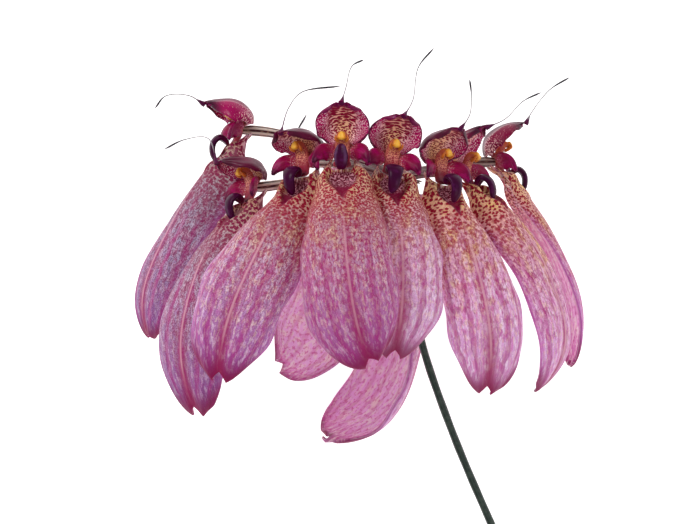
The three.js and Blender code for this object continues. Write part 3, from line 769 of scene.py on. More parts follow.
# %% The tongue's mesh
def tongue(f):
    """Both sepals. The second one shares the first one's seam, as far as the notch."""
    head = Head(f)
    points, skin, marks, quads, seam = [], [], [], [], None
    joint = TONGUE_ROWS <= NOTCH_STARTS
    for side in (1, -1):
        p, shape, u, v, mouth, uv, w = tongue_side(f, head, side)
        index = np.arange(len(p)).reshape(shape)
        keep = np.ones(len(p), bool)
        if side < 0:
            keep[index[joint, 0]] = False
        numbers = np.cumsum(keep) - 1 + sum(len(q) for q in points)
        grid = np.where(keep, numbers, 0).reshape(shape)
        if side < 0:
            grid[joint, 0] = seam
        seam = grid[joint, 0]
        points.append(p[keep])
        skin.append(uv[keep])
        marks.append(np.c_[u, v, mouth, w][keep])
        quads.append(grid_quads(grid)[:, ::side])
    points, skin, quads = np.vstack(points), np.vstack(skin), np.vstack(quads)
    u, v, mouth, w = np.vstack(marks).T
    points = points + sheet_normals(points, quads) * tongue_relief(f, u, v, w)[:, None]
    margin = np.minimum((1 - np.abs(v)) * w * 1.3, (1 - u) * TONGUE_LENGTH + 0.1)
    solid, faces = shell(points, quads, SHEET * rounded(margin, 1.3, 0.25))
    for_paint = {name: f[name] for name in ("warm", "coarse", "speckle", "pale")}
    return solid, faces, both_faces(skin), dict(
        along=both_faces(u), across=both_faces(v), mouth=both_faces(mouth),
        behind=which_face(len(points)), **for_paint)


# %% [markdown]
# ## The tongue's paint
#
# From root to tip the real tongue goes from cream and orange with oxblood spots, through pinkish
# cream with rose clouds, to magenta and a dark crimson tip. Each layer lies over the last one, and
# the numbers `along` and `across` say where it is strong. Flowers on one side of the umbel are
# greyer and finely speckled, on the other side warmer and coarsely spotted, which `warm` and
# `speckle` carry. Where `pale` is above zero the ground gets lighter towards the tip, with more
# pale
# streaks and fewer flecks: this is painted light, which lifts the shade on the flowers that lie
# under others. Where it is below zero a deep magenta is laid over it. The back of the sheet is
# plainer, and partly painted lighter as well, as painted light for the backs that lie in shade.

# %% What the mesh tells the tongue's paint
def tongue_marks(tree):
    skin, along, pale = skin_place(tree), mark(tree, "along"), mark(tree, "pale")
    sideways = put(tree, "ShaderNodeSeparateXYZ", inputs={0: skin}).outputs["X"]
    return types.SimpleNamespace(
        along=along, across=calc(tree, "ABSOLUTE", mark(tree, "across")),
        mouth=mark(tree, "mouth"), behind=mark(tree, "behind"), warm=mark(tree, "warm"),
        coarse=mark(tree, "coarse"), speckle=mark(tree, "speckle"),
        # painted light: `pale` above zero lifts the colour of the flowers that lie in the shade of
        # others
        pale=times(tree, calc(tree, "MAXIMUM", pale, 0.0), between(tree, along, 0.1, 0.6, 0.2, 1.0),
                   between(tree, along, 0.85, 1.0, 1.0, 0.4)),
        deep=times(tree, calc(tree, "MAXIMUM", times(tree, pale, -1.0), 0.0),
                   between(tree, along, 0.2, 0.9, 0.3, 1.0)),
        deepish=between(tree, pale, -0.3, -0.1, 1.0, 0.0),
        skin=skin, long_skin=skin_place(tree, (1.0, 0.55, 1.0)),
        streaks=skin_place(tree, (1.0, 0.3, 1.0)),
        side_mm=calc(tree, "ABSOLUTE", sideways))


# %% The tongue's ground colours
def tongue_ground(tree, at):
    cool = ramp(tree, at.along, [
        (0.0, tone(188, 126, 124)), (0.12, tone(172, 154, 160)), (0.35, tone(168, 160, 180)),
        (0.6, tone(160, 144, 180)), (0.85, tone(144, 96, 158)), (1.0, tone(100, 20, 92))])
    warm = ramp(tree, at.along, [
        (0.0, tone(230, 168, 100)), (0.12, tone(218, 154, 128)), (0.3, tone(218, 152, 158)),
        (0.5, tone(222, 156, 194)), (0.75, tone(222, 148, 216)), (0.93, tone(188, 78, 160)),
        (1.0, tone(116, 8, 54))])
    # painted light: where `pale` is above zero the ground is lifted towards a pale pink
    return mix(tree, at.pale, mix(tree, at.warm, cool, warm), tone(255, 214, 248))


# %% The tongue's clouds, streaks and flecks
def tongue_clouds(tree, at, colour):
    cream = times(tree, band(tree, at.along, 0.02, 0.1, 0.35, 0.65),
                  between(tree, at.across, 0.5, 0.95, 0.85, 0.3), at.warm)
    rose = times(tree, band(tree, at.along, 0.1, 0.22, 0.5, 0.95), 0.62)
    pale_streaks = times(tree, band(tree, at.along, 0.12, 0.3, 0.7, 0.98), 0.52)
    streak = mix(tree, between(tree, at.warm, 0.0, 0.6), tone(204, 178, 196), tone(252, 222, 196))
    # painted light: `pale` also adds white streaks and takes flecks away
    white_streaks = times(tree, band(tree, at.along, 0.3, 0.55, 0.85, 1.0), calc(
        tree, "ADD", between(tree, at.warm, 0.0, 0.6, 0.25, 0.45), times(tree, at.pale, 0.5)))
    magenta_streaks = times(tree, band(tree, at.along, 0.32, 0.55, 0.85, 1.0),
                            between(tree, at.warm, 0.3, 0.6, 0.15, 0.36))
    flecks = times(tree, band(tree, at.along, 0.06, 0.18, 0.35, 0.9),
                   calc(tree, "SUBTRACT", 0.75, times(tree, at.pale, 0.6)))
    fleck = mix(tree, between(tree, at.warm, 0.0, 0.5), tone(126, 26, 80), tone(160, 8, 76))
    low_down = times(tree, between(tree, at.along, 0.35, 0.75), between(tree, at.warm, 0.3, 0.6))
    fleck = mix(tree, low_down, fleck, tone(206, 64, 160))
    for place, cloud, share, per_mm, rise, full in (
            (at.long_skin, tone(240, 200, 112), cream, 0.4, 0.48, 0.62),
            (at.long_skin, tone(160, 36, 92), rose, 0.8, 0.47, 0.62),
            (at.streaks, streak, pale_streaks, 2.0, 0.52, 0.6),
            (at.streaks, tone(255, 232, 252), white_streaks, 1.5, 0.52, 0.62),
            (at.streaks, tone(208, 44, 164), magenta_streaks, 1.2, 0.52, 0.62),
            (at.long_skin, fleck, flecks, 2.4, 0.5, 0.59)):
        colour = effect(tree, CLOUDS, Place=place, Ground=colour, Cloud=cloud, Share=share,
                        Per_mm=per_mm, From=rise, To=full)
    freckles = times(tree, at.speckle, between(tree, at.along, 0.6, 0.95, 0.7, 0.3))
    return effect(tree, SPOTS, Place=at.skin, Ground=colour, Spot=tone(112, 30, 80),
                  Cells_per_mm=3.1, Cover=0.34, Softness=0.14, Wobble=0.5, Share=freckles)


# %% The tongue's nerves, seam and margin
def tongue_nerves(tree, at, colour):
    broad = times(tree, band(tree, at.along, 0.25, 0.5, 0.85, 1.0), 0.5)
    fine = times(tree, band(tree, at.along, 0.15, 0.4, 0.9, 1.0), 0.3)
    for nerve, count, sharpness, share in ((tone(168, 16, 118), 3.1, 0.1, broad),
                                           (tone(120, 34, 90), 8.3, 0.8, fine)):
        colour = effect(tree, NERVES, Place=at.skin, Across=at.across, Ground=colour, Nerve=nerve,
                        Count=count, Sharpness=sharpness, Share=share)
    # painted shade: the valley beside the seam is darkened, more towards the tips, where shade
    # falls in it; the seam's ridge gets a pale line
    seam_valley_shade = times(tree, between(tree, at.side_mm, 0.3, 2.2, 0.7, 0.0),
                   between(tree, at.along, 0.45, 0.95, 0.25, 1.0))
    ridge = times(tree, between(tree, at.side_mm, 0.08, 0.3, 0.5, 0.0),
                  band(tree, at.along, 0.22, 0.36, 0.75, 0.9))
    colour = mix(tree, seam_valley_shade, colour, tone(156, 24, 76))
    colour = mix(tree, ridge, colour, tone(236, 186, 196))
    edge = mix(tree, at.deepish, tone(188, 104, 188), tone(142, 18, 104))
    colour = mix(tree, times(tree, between(tree, at.across, 0.7, 0.98), 0.45), colour, edge)
    return mix(tree, at.deep, colour, tone(150, 6, 96))


# %% The spotted root of the tongue, its mouth and its throat
def tongue_root(tree, at, colour):
    glow = times(tree, between(tree, at.along, 0.04, 0.28, 0.6, 0.0),
                 between(tree, at.warm, 0.0, 1.0, 0.4, 1.0))
    colour = mix(tree, glow, colour, tone(250, 208, 150))
    blotch = mix(tree, between(tree, at.warm, 0.0, 0.6), tone(128, 26, 68), tone(150, 2, 42))
    blotched = effect(tree, SPOTS, Place=at.skin, Ground=colour, Spot=blotch,
                      Cells_per_mm=at.coarse, Softness=0.08, Wobble=0.32,
                      Cover=between(tree, at.warm, 0.55, 0.9, 0.46, 0.4),
                      Share=between(tree, at.along, 0.15, 0.46, 1.0, 0.0))
    blotched = effect(tree, SPOTS, Place=at.skin, Ground=blotched, Spot=tone(110, 2, 34),
                      Cells_per_mm=2.4, Cover=0.36, Softness=0.1, Wobble=0.45,
                      Share=between(tree, at.along, 0.02, 0.18, 0.8, 0.0))
    pocket = effect(tree, SPOTS, Place=at.skin, Ground=tone(214, 150, 166),
                    Spot=tone(104, 6, 40), Cells_per_mm=2.6, Cover=0.5, Softness=0.1, Wobble=0.5,
                    Share=1.0)
    colour = mix(tree, between(tree, at.mouth, 0.25, 0.55), blotched, pocket)
    # a dark wedge that points down from the mouth
    wedge = calc(tree, "SUBTRACT", 0.215, at.along)
    wedge = calc(tree, "SUBTRACT", times(tree, wedge, 21.0), at.side_mm)
    throat = times(tree, between(tree, wedge, -0.1, 0.35),
                   between(tree, at.along, 0.09, 0.13, 0.0, 0.92))
    return mix(tree, throat, colour, tone(126, 2, 54))


# %% The tips of the tongue, and its back
def tongue_tips(tree, at, colour):
    outer = times(tree, between(tree, at.across, 0.5, 1.0), 0.07)
    tip = between(tree, calc(tree, "ADD", at.along, outer), 0.87, 1.0)
    colour = mix(tree, times(tree, tip, 0.82), colour, tone(132, 2, 66))
    # painted highlight: a thin pale lilac rim along the margin, where the margins catch the light
    return mix(tree, between(tree, at.across, 0.97, 0.998, 0.0, 0.4), colour, tone(228, 206, 226))


def tongue_back(tree, at):
    # partly the back's own pale lilac and partly painted light: the back's ground and its clouds
    # are painted lighter than the skin, and lifted further where `pale` is above zero, to lift the
    # shade on the backs that lie under other flowers
    ground = ramp(tree, at.along, [
        (0.0, tone(224, 180, 126)), (0.15, tone(236, 188, 164)), (0.35, tone(240, 180, 204)),
        (0.8, tone(240, 158, 222)), (0.94, tone(214, 100, 178)), (1.0, tone(140, 14, 84))])
    colour = mix(tree, at.pale, ground, tone(255, 220, 255))
    cream = times(tree, band(tree, at.along, 0.2, 0.4, 0.75, 0.95), 0.7)
    magenta = between(tree, at.along, 0.3, 0.9, 0.4, 0.6)
    for place, cloud, share, per_mm, full in (
            (at.long_skin, tone(255, 240, 226), cream, 0.35, 0.7),
            (at.streaks, tone(255, 240, 240), 0.7, 1.5, 0.6),
            (at.long_skin, tone(206, 48, 156), magenta, 1.7, 0.66)):
        colour = effect(tree, CLOUDS, Place=place, Ground=colour, Cloud=cloud, Share=share,
                        Per_mm=per_mm, From=0.5, To=full)
    colour = effect(tree, NERVES, Place=at.skin, Across=at.across, Ground=colour,
                    Nerve=tone(196, 60, 150), Count=4.1, Sharpness=0.1, Share=0.32)
    colour = effect(tree, SPOTS, Place=at.skin, Ground=colour, Spot=tone(136, 10, 40),
                    Cells_per_mm=1.7, Cover=0.4, Softness=0.1, Wobble=0.45,
                    Share=between(tree, at.along, 0.1, 0.4, 0.9, 0.0))
    edge = times(tree, between(tree, at.across, 0.7, 1.0), between(tree, at.along, 0.5, 0.9), 0.5)
    return mix(tree, edge, colour, tone(170, 20, 120))


# %% The tongues
def tongue_material():
    made, tree = new_material("lateral sepal skin")
    at = tongue_marks(tree)
    front = tongue_ground(tree, at)
    for layer in (tongue_clouds, tongue_nerves, tongue_root, tongue_tips):
        front = layer(tree, at, front)
    colour = mix(tree, at.behind, front, tongue_back(tree, at))
    roughness = calc(tree, "ADD", 0.36, times(tree, between(tree, at.along, 0.0, 0.3), 0.1))
    finish_material(tree, colour, roughness, grain(tree, at.skin, 5.5, 0.35),
                    Subsurface_Weight=0.2, Subsurface_Scale=2 * MM, Coat_Weight=0.03,
                    Coat_Roughness=0.35, Specular_IOR_Level=0.12)
    return made


tongue_paint = tongue_material()
for f in FLOWERS:
    made = piece("tongue_" + f["name"], [tongue(f)], tongue_paint)
    stand_for(made, "lateral_sepal", f"flower_{f['name']}_lateral_sepals")
print(len(FLOWERS), "tongues,", len(made.data.polygons), "faces each")

# %% [markdown]
# ## The dorsal sepal: the hood
#
# Above the column stands the third sepal, a rounded hood with two shoulders and a dark point
# between them. It is the same kind of sheet as the tongue, so the same tools make it: a spine that
# bends forwards, a width, a depth, and an arch across. The notches beside the point come from
# pulling the last rows back where the point doesn't stand.

# %% The hood's mesh
HOOD_SPINE = [(0, 1.4, -1.4), (0, 4.6, -2.0), (0, 7.0, 2.0), (0, 4.9, 8.2)]
HOOD_HALF_WIDTH, HOOD_DEPTH, HOOD_LENGTH = 4.85, 3.0, 12  # mm
HOOD_ARCH = math.radians(84)
FLUSHED = 62  # degrees: the hoods of flowers that are turned further have crimson sides outside
hood_width = profile([(0, 0.46), (0.12, 0.74), (0.3, 0.95), (0.5, 1.0), (0.66, 1.0), (0.8, 0.8),
                      (0.9, 0.58), (0.96, 0.44), (1, 0.36)])
hood_depth = profile([(0, 0.2), (0.25, 0.75), (0.5, 1.0), (0.8, 0.8), (1, 0.1)])
open_hood_depth = profile([(0, 0.2), (0.25, 0.75), (0.5, 0.8), (0.66, 0.48), (0.8, 0.22),
                           (1, 0.05)])
HOOD_ROWS, HOOD_COLUMNS = 52, 48


def hood_spine(f, head):
    return [head.place(p) for p in pitched(HOOD_SPINE, f["hood"], HOOD_SPINE[0])]


def hood_form(f, u, v, width):
    """The hood's points before its relief."""
    head, opened = Head(f), f["hood_open"]
    arch = HOOD_ARCH * (1 - 0.38 * opened)
    sideways = width * np.sin(v * arch) / math.sin(arch)
    beside = np.abs(sideways)
    notch = 0.04 * ease(beside, 0.3, 0.6) + 0.025 * bump(beside, 0.85, 0.25) + 0.05 * np.abs(v) ** 5
    spine, along = bezier(hood_spine(f, head), u - notch * ease(u, 0.72, 1))
    inward = unit(np.cross(head.right, along))
    depth = hood_depth(u) * (1 - opened) + open_hood_depth(u) * opened
    fall = HOOD_DEPTH * f["hood_deep"] * depth * (1 - np.cos(v * arch)) / (1 - math.cos(arch))
    return spine + head.right * sideways[:, None] + inward * fall[:, None]


def hood_relief(u, v, phase):
    across = np.abs(v)
    ripple = np.sin(2 * np.pi * 2.5 * u + phase + np.sign(v)) * ease(across, 0.75, 1)
    waves = np.sin(9 * u + 5 * v + phase) * np.sin(8 * v - 5 * u)
    furrows = bump(across, 0.45, 0.06) * ease(u, 0.1, 0.4)
    return 0.12 * waves - 0.12 * furrows + 0.2 * ripple * ease(u, 0.1, 0.3)


def hood_skin(f, u, v, width):
    """Laid out so that one direction goes round the column and the other away from it."""
    out, ahead = v * width * 1.25, (u - 0.15) * 12.5
    reach, turn = np.hypot(out, ahead), np.arctan2(out, ahead + 1e-6)
    return np.c_[turn * 2.3 * np.minimum(1, reach / 2.2) + 31 * f["seed"], reach]


def hood(f):
    u, v = np.meshgrid(np.linspace(0, 1, HOOD_ROWS + 1), np.linspace(-1, 1, HOOD_COLUMNS + 1),
                       indexing="ij")
    quads = grid_quads(np.arange(u.size).reshape(u.shape))[:, ::-1]
    u, v = u.ravel(), v.ravel()
    width = HOOD_HALF_WIDTH * hood_width(u)
    points = hood_form(f, u, v, width)
    relief = hood_relief(u, v, f["seed"] * 2.1)
    points = points + sheet_normals(points, quads) * relief[:, None]
    margin = np.minimum((1 - np.abs(v)) * width * 1.3, (1 - u) * HOOD_LENGTH + 0.05)
    local = SHEET * rounded(margin, 1.1, 0.22) * (1 - 0.55 * ease(u, 0.6, 0.95))
    solid, faces = shell(points, quads, local)
    return solid, faces, both_faces(hood_skin(f, u, v, width)), dict(
        along=both_faces(u), across=both_faces(v), behind=which_face(len(points)),
        flush=1.0 if abs(f["face"]) > FLUSHED else 0.15, open=f["hood_open"])


# %% [markdown]
# ## The hood's paint
#
# Inside, the hood is cream and flesh-coloured in its middle, with dark red dashes that run in arcs
# round the column. The mesh's UV map is laid out for that: one direction goes round the column, the
# other away from it, so ordinary cells turn into arcs. Towards the sides it turns crimson with pale
# dots, and its end and its margin are darker still. The outside is dark maroon and glossier; the
# hoods of the flowers that are seen from the side have crimson sides with pale dots near the root.

# %% The hood's material
def hood_inside(tree, skin, along, across, opened):
    ground = mix(tree, between(tree, across, 0.1, 0.5), tone(255, 208, 160), tone(255, 204, 210))
    ground = mix(tree, between(tree, along, 0.35, 0.8, 0.0, 0.8), ground, tone(252, 186, 172))
    # painted light: hoods that are less open get fewer dark spots inside, so that their shaded
    # insides read lighter
    cover = calc(tree, "SUBTRACT", between(tree, along, 0.45, 0.85, 0.45, 0.58),
                 between(tree, opened, 0.25, 0.9, 0.09, 0.0))
    centre = effect(tree, SPOTS, Place=skin, Ground=ground, Spot=tone(148, 0, 54), Share=1.0,
                    Cells_per_mm=2.3, Cover=cover, Softness=0.1, Wobble=0.35)
    sides = effect(tree, SPOTS, Place=skin_place(tree, (2.0, 1.0, 1.0)), Ground=tone(176, 2, 92),
                   Spot=tone(255, 214, 226), Share=1.0, Cells_per_mm=2.9, Softness=0.1,
                   Cover=between(tree, across, 0.5, 0.95, 0.35, 0.2), Wobble=0.3)
    colour = mix(tree, between(tree, across, 0.38, 0.7), centre, sides)
    colour = mix(tree, between(tree, along, 0.82, 0.92), colour, tone(122, 0, 72))
    return mix(tree, between(tree, across, 0.955, 0.99), colour, tone(104, 2, 62))


def hood_outside(tree, skin, along, across, opened):
    maroon = effect(tree, CLOUDS, Place=skin, Ground=tone(72, 4, 36), Cloud=tone(104, 12, 54),
                    Share=0.6, Per_mm=0.4, From=0.45, To=0.65)
    ground = mix(tree, between(tree, opened, 0.3, 0.5), tone(158, 0, 82), tone(122, 0, 54))
    crimson = effect(tree, SPOTS, Place=skin, Ground=ground, Spot=tone(250, 196, 196), Share=1.0,
                     Cells_per_mm=2.6, Cover=between(tree, along, 0.05, 0.7, 0.33, 0.04),
                     Softness=0.1, Wobble=0.6)
    crimson = mix(tree, between(tree, along, 0.72, 0.95), crimson, tone(64, 4, 38))
    flushed = times(tree, mark(tree, "flush"), between(tree, across, 0.1, 0.5))
    end = times(tree, between(tree, along, 0.72, 0.86), between(tree, opened, 0.6, 0.9, 0.0, 0.85))
    return mix(tree, end, mix(tree, flushed, maroon, crimson), tone(118, 0, 70))


def hood_material():
    made, tree = new_material("dorsal sepal skin")
    along, across = mark(tree, "along"), calc(tree, "ABSOLUTE", mark(tree, "across"))
    behind, opened, skin = mark(tree, "behind"), mark(tree, "open"), skin_place(tree)
    colour = mix(tree, behind, hood_inside(tree, skin, along, across, opened),
                 hood_outside(tree, skin, along, across, opened))
    roughness = calc(tree, "SUBTRACT", 0.4, times(tree, behind, 0.1))
    finish_material(tree, colour, roughness, grain(tree, skin, 5.0, 0.3), Subsurface_Weight=0.1,
                    Subsurface_Scale=1.5 * MM, Coat_Weight=times(tree, behind, 0.05),
                    Coat_Roughness=0.25)
    return made


hood_paint = hood_material()
for f in FLOWERS:
    made = piece("hood_" + f["name"], [hood(f)], hood_paint)
    stand_for(made, "dorsal_sepal", f"flower_{f['name']}_dorsal_sepal")
print(len(FLOWERS), "hoods,", len(made.data.polygons), "faces each")

# %% [markdown]
# ## The petals
#
# Two short, arched petals stand at the column's sides, and a strip behind the column joins them.
# Each is a small sheet that narrows into a dark point. Its margin carries a fringe of tiny hairs.
# Hairs repeat, so they are left to Geometry Nodes: the mesh only marks which of its points carry
# one and which way it leans.

# %% The petals' mesh
PETAL_SPINE = np.array([(1.2, 0.0, 0.7), (2.5, 0.9, 2.2), (4.1, 0.6, 3.3), (5.2, -1.9, 3.8)])
PETAL_FACE, PETAL_LENGTH = np.array([-0.45, 0.25, 0.85]), 7
petal_width = profile([(0, 1.5), (0.3, 1.85), (0.55, 1.8), (0.8, 1.15), (0.93, 0.6), (1, 0.16)])
PETAL_ROWS, PETAL_COLUMNS = 30, 14
HAIR_LENGTH, HAIR_RADIUS = 0.16, 0.05  # mm
COLLAR = np.array([(2.0, 1.0, 0.0), (1.3, 1.6, -0.5), (0, 1.65, -0.85), (-1.3, 1.6, -0.5),
                   (-2.0, 1.0, 0.0)])


def petal(f, side):
    head, mirror = Head(f), np.array([side, 1, 1])
    u, v = np.meshgrid(np.linspace(0, 1, PETAL_ROWS + 1), np.linspace(-1, 1, PETAL_COLUMNS + 1),
                       indexing="ij")
    quads = grid_quads(np.arange(u.size).reshape(u.shape))
    u, v = u.ravel(), v.ravel()
    spine, along = bezier(head.place(PETAL_SPINE * mirror), u)
    across = unit(np.cross(head.turn(PETAL_FACE * mirror), along))
    outward = np.cross(along, across)
    width = petal_width(u)
    cup = 0.6 * (width / 1.8) ** 2 * v**2
    relief = 0.14 * bump(v, 0, 0.25) * ease(u, 0.05, 0.2) + 0.08 * np.sin(7 * u + 5 * v)
    points = spine + across * (v * width)[:, None] + outward * (relief - cup)[:, None]
    margin = np.minimum((1 - np.abs(v)) * width, (1 - u) * PETAL_LENGTH + 0.05)
    solid, faces = shell(points, quads, PETAL_SHEET * rounded(margin, 0.8, 0.2), PETAL_SHEET)
    hairy = (np.abs(v) > 0.999) & (u > 0.12)
    lean = unit(across * np.sign(v)[:, None] + along * 0.5)
    skin = np.c_[v * width * 1.1, u * PETAL_LENGTH + 13 * f["seed"] + 5 * side]
    marks = dict(along=both_faces(u), across=both_faces(v), behind=which_face(len(points)),
                 fringe=np.r_[np.where(hairy, HAIR_LENGTH, 0.0), np.zeros(len(points))])
    marks.update({"lean_" + axis: both_faces(lean[:, k]) for k, axis in enumerate("xyz")})
    return solid, faces, both_faces(skin), marks


def collar(f):
    """The strip behind the column that joins the two petals."""
    head, count = Head(f), 17
    centres, along = through(head.place(COLLAR), np.linspace(0, 1, count))
    wide = np.full(count, 0.32)
    top = np.broadcast_to(head.up, along.shape)
    points, faces = sweep(centres, along, top, wide, wide * 1.3, ring(10))
    return points, faces, np.zeros((len(points), 2)), dict(along=0.0)


print("petals", PETAL_LENGTH, "mm long, with hairs of about", HAIR_LENGTH, "mm")

# %% [markdown]
# ## A fringe of hairs, grown by Geometry Nodes
#
# The tree puts one thin cone on each marked point, leans it the way that the point says, and gives
# it a length that varies by chance from a fixed seed. It ends in Realize Instances and Set
# Material, and its result is then kept as a plain mesh, so nothing stays live.

# %% Building a tree with named inputs, and running it
def sized_tree(name, inputs):
    """A Geometry Nodes tree from a mesh to a mesh, with its sizes as named inputs."""
    tree = bpy.data.node_groups.new(name, "GeometryNodeTree")
    sockets = [("Geometry", "INPUT", "Geometry", None)]
    sockets += [(label, "INPUT", kind, value) for label, kind, value in inputs]
    for label, way, kind, value in sockets + [("Geometry", "OUTPUT", "Geometry", None)]:
        kind = "NodeSocket" + kind
        made = tree.interface.new_socket(name=label, in_out=way, socket_type=kind)
        if value is not None:
            made.default_value = value
    given, result = tree.nodes.new("NodeGroupInput"), tree.nodes.new("NodeGroupOutput")
    return tree, given.outputs, result.inputs[0]


def carried(tree, name):
    """A number that the mesh carries, read inside Geometry Nodes."""
    return put(tree, "GeometryNodeInputNamedAttribute", {"Name": name},
               data_type="FLOAT").outputs["Attribute"]


def grown(made, tree, **inputs):
    """Runs a tree on a piece and keeps the result as its plain mesh."""
    name, modifier = made.name, made.modifiers.new("grow", "NODES")
    modifier.node_group = tree
    keys = {s.name: s.identifier for s in tree.interface.items_tree
            if s.item_type == "SOCKET" and s.in_out == "INPUT"}
    for key, value in inputs.items():
        modifier[keys[key.replace("_", " ")]] = value
    evaluated = made.evaluated_get(bpy.context.evaluated_depsgraph_get())
    mesh = bpy.data.meshes.new_from_object(evaluated)
    made.modifiers.remove(modifier)
    old, made.data = made.data, mesh
    bpy.data.meshes.remove(old)
    mesh.name = name
    return made


# %% The fringe tree
def make_fringe_tree():
    tree, given, result = sized_tree("fringe of hairs", [
        ("Hair Radius", "Float", HAIR_RADIUS * MM), ("Seed", "Int", 5),
        ("Hair Material", "Material", None)])
    leans = {axis: carried(tree, "lean_" + axis.lower()) for axis in "XYZ"}
    lean = put(tree, "ShaderNodeCombineXYZ", leans).outputs[0]
    turned = put(tree, "FunctionNodeAlignRotationToVector", {"Vector": lean}, axis="Z")
    chance = put(tree, "FunctionNodeRandomValue", data_type="FLOAT",
                 inputs={"Min_001": 0.5, "Max_001": 1.3, "Seed": given["Seed"]})
    length = times(tree, carried(tree, "fringe"), MM, socket_of(chance.outputs, "Value_001"))
    cone = put(tree, "GeometryNodeMeshCone", {
        "Vertices": 5, "Radius Top": 0.0, "Radius Bottom": given["Hair Radius"], "Depth": 1.0})
    size = put(tree, "ShaderNodeCombineXYZ", {"X": 1.0, "Y": 1.0, "Z": length}).outputs[0]
    hairs = put(tree, "GeometryNodeInstanceOnPoints", {
        "Points": given["Geometry"], "Instance": cone.outputs["Mesh"],
        "Selection": calc(tree, "GREATER_THAN", carried(tree, "fringe"), 0.01),
        "Rotation": turned.outputs["Rotation"], "Scale": size})
    hairs = put(tree, "GeometryNodeRealizeInstances", {"Geometry": hairs.outputs["Instances"]})
    hairs = put(tree, "GeometryNodeSetMaterial", {
        "Geometry": hairs.outputs["Geometry"], "Material": given["Hair Material"]})
    both = put(tree, "GeometryNodeJoinGeometry")
    tree.links.new(hairs.outputs["Geometry"], both.inputs[0])
    tree.links.new(given["Geometry"], both.inputs[0])
    tree.links.new(both.outputs[0], result)
    return tree


FRINGE = make_fringe_tree()
print("the fringe tree has", len(FRINGE.nodes), "nodes")

# %% [markdown]
# ## The petals' paint
#
# A petal is deep crimson, paler and finely dotted where it leaves the column, and almost black at
# its point. Its back is a little more purple.

# %% The petals
def petal_material():
    made, tree = new_material("petal skin")
    along, across = mark(tree, "along"), calc(tree, "ABSOLUTE", mark(tree, "across"))
    skin = skin_place(tree)
    colour = ramp(tree, along, [
        (0.0, tone(196, 110, 96)), (0.12, tone(190, 70, 92)), (0.3, tone(152, 6, 66)),
        (0.6, tone(136, 0, 62)), (0.85, tone(96, 0, 52)), (1.0, tone(52, 2, 38))])
    colour = effect(tree, SPOTS, Place=skin, Ground=colour, Spot=tone(236, 190, 200),
                    Cells_per_mm=2.4, Cover=0.24, Softness=0.1, Wobble=0.6,
                    Share=between(tree, along, 0.12, 0.42, 0.85, 0.0))
    colour = effect(tree, CLOUDS, Place=skin, Ground=colour, Cloud=tone(170, 2, 98), Share=0.6,
                    Per_mm=0.5, From=0.48, To=0.66)
    colour = effect(tree, NERVES, Place=skin, Across=across, Ground=colour, Nerve=tone(104, 0, 56),
                    Count=4.0, Sharpness=0.6, Share=0.5)
    colour = mix(tree, times(tree, mark(tree, "behind"), 0.4), colour, tone(158, 0, 96))
    finish_material(tree, colour, between(tree, along, 0.2, 1.0, 0.42, 0.32),
                    grain(tree, skin, 6.0, 0.35), Subsurface_Weight=0.08, Subsurface_Scale=MM,
                    Coat_Weight=0.04, Coat_Roughness=0.3, Specular_IOR_Level=0.12)
    return made


petal_paint = petal_material()
for f in FLOWERS:
    made = piece("petals_" + f["name"], [petal(f, 1), petal(f, -1), collar(f)], petal_paint)
    grown(made, FRINGE, Hair_Radius=HAIR_RADIUS * MM, Seed=f["seed"], Hair_Material=petal_paint)
    stand_for(made, "petal", f"flower_{f['name']}_petals")
print(len(FLOWERS), "pairs of petals,", len(made.data.polygons), "faces a pair with its fringe")

# %% [markdown]
# ## The lip
#
# The lip is a small, thick, dark tongue, hinged so freely on the column's foot that the wind rocks
# it. It is a swept shape: rings along a hanging arc, wide near the hinge and narrow at its rounded
# end, with a groove along its back. In one flower it is folded up against the column.

# %% The lip's mesh
LIP_HINGE = np.array([0, -3.0, 2.8])
LIP_HANGING = np.array([(0, 0, 0), (0, 1.0, 0.8), (0, 1.5, 1.9), (0, 0.5, 3.0), (0, -1.4, 3.2),
                        (0, -3.5, 2.4)])
LIP_RAISED = np.array([(0, 0, 0), (0, 0.2, 0.8), (0, 1.3, 1.5), (0, 2.6, 1.7), (0, 3.8, 1.6),
                       (0, 4.8, 1.4)])
lip_half_width = profile([(0, 0.8), (0.2, 1.6), (0.42, 1.8), (0.62, 1.4), (0.9, 1.05), (1, 0.9)])
lip_raised_half_width = profile([(0, 0.5), (0.3, 1.1), (0.55, 1.38), (0.8, 1.05), (1, 0.6)])
lip_half_depth = profile([(0, 0.45), (0.3, 0.7), (0.8, 0.62), (1, 0.5)])
LIP_RINGS, LIP_SIDES = 46, 24


def close_at_ends(rings):
    """Places from 0 to 1 that lie close together at both ends, where a shape rounds off."""
    return 0.5 - 0.5 * np.cos(np.linspace(0, np.pi, rings))


def lip(f):
    head, raised = Head(f), f["lip_raised"]
    shape = (LIP_RAISED if raised else LIP_HANGING) + LIP_HINGE
    line = rested(head.place(pitched(shape, f["lip"], LIP_HINGE)))
    t = close_at_ends(LIP_RINGS)
    centres, along = through(line, t)
    far_end = np.clip((t - 0.85) / 0.15, 0, 1)
    root = np.clip(1 - t / (0.3 if raised else 0.1), 0, 1)
    blunt = np.maximum(np.sqrt(1 - far_end**2) * np.sqrt(1 - root**2), 0.06)
    wide = (lip_raised_half_width if raised else lip_half_width)(t) * blunt
    points, faces = sweep(centres, along, -np.cross(along, head.right), wide,
                          lip_half_depth(t) * blunt, ring(LIP_SIDES, groove=0.42))
    around = round_sweep(np.arange(LIP_SIDES) / LIP_SIDES, LIP_RINGS)
    far = along_sweep(t, LIP_SIDES)
    skin = np.c_[around * 6, far * 9 + 7 * f["seed"]]
    return points, faces, skin, dict(along=far, around=around)


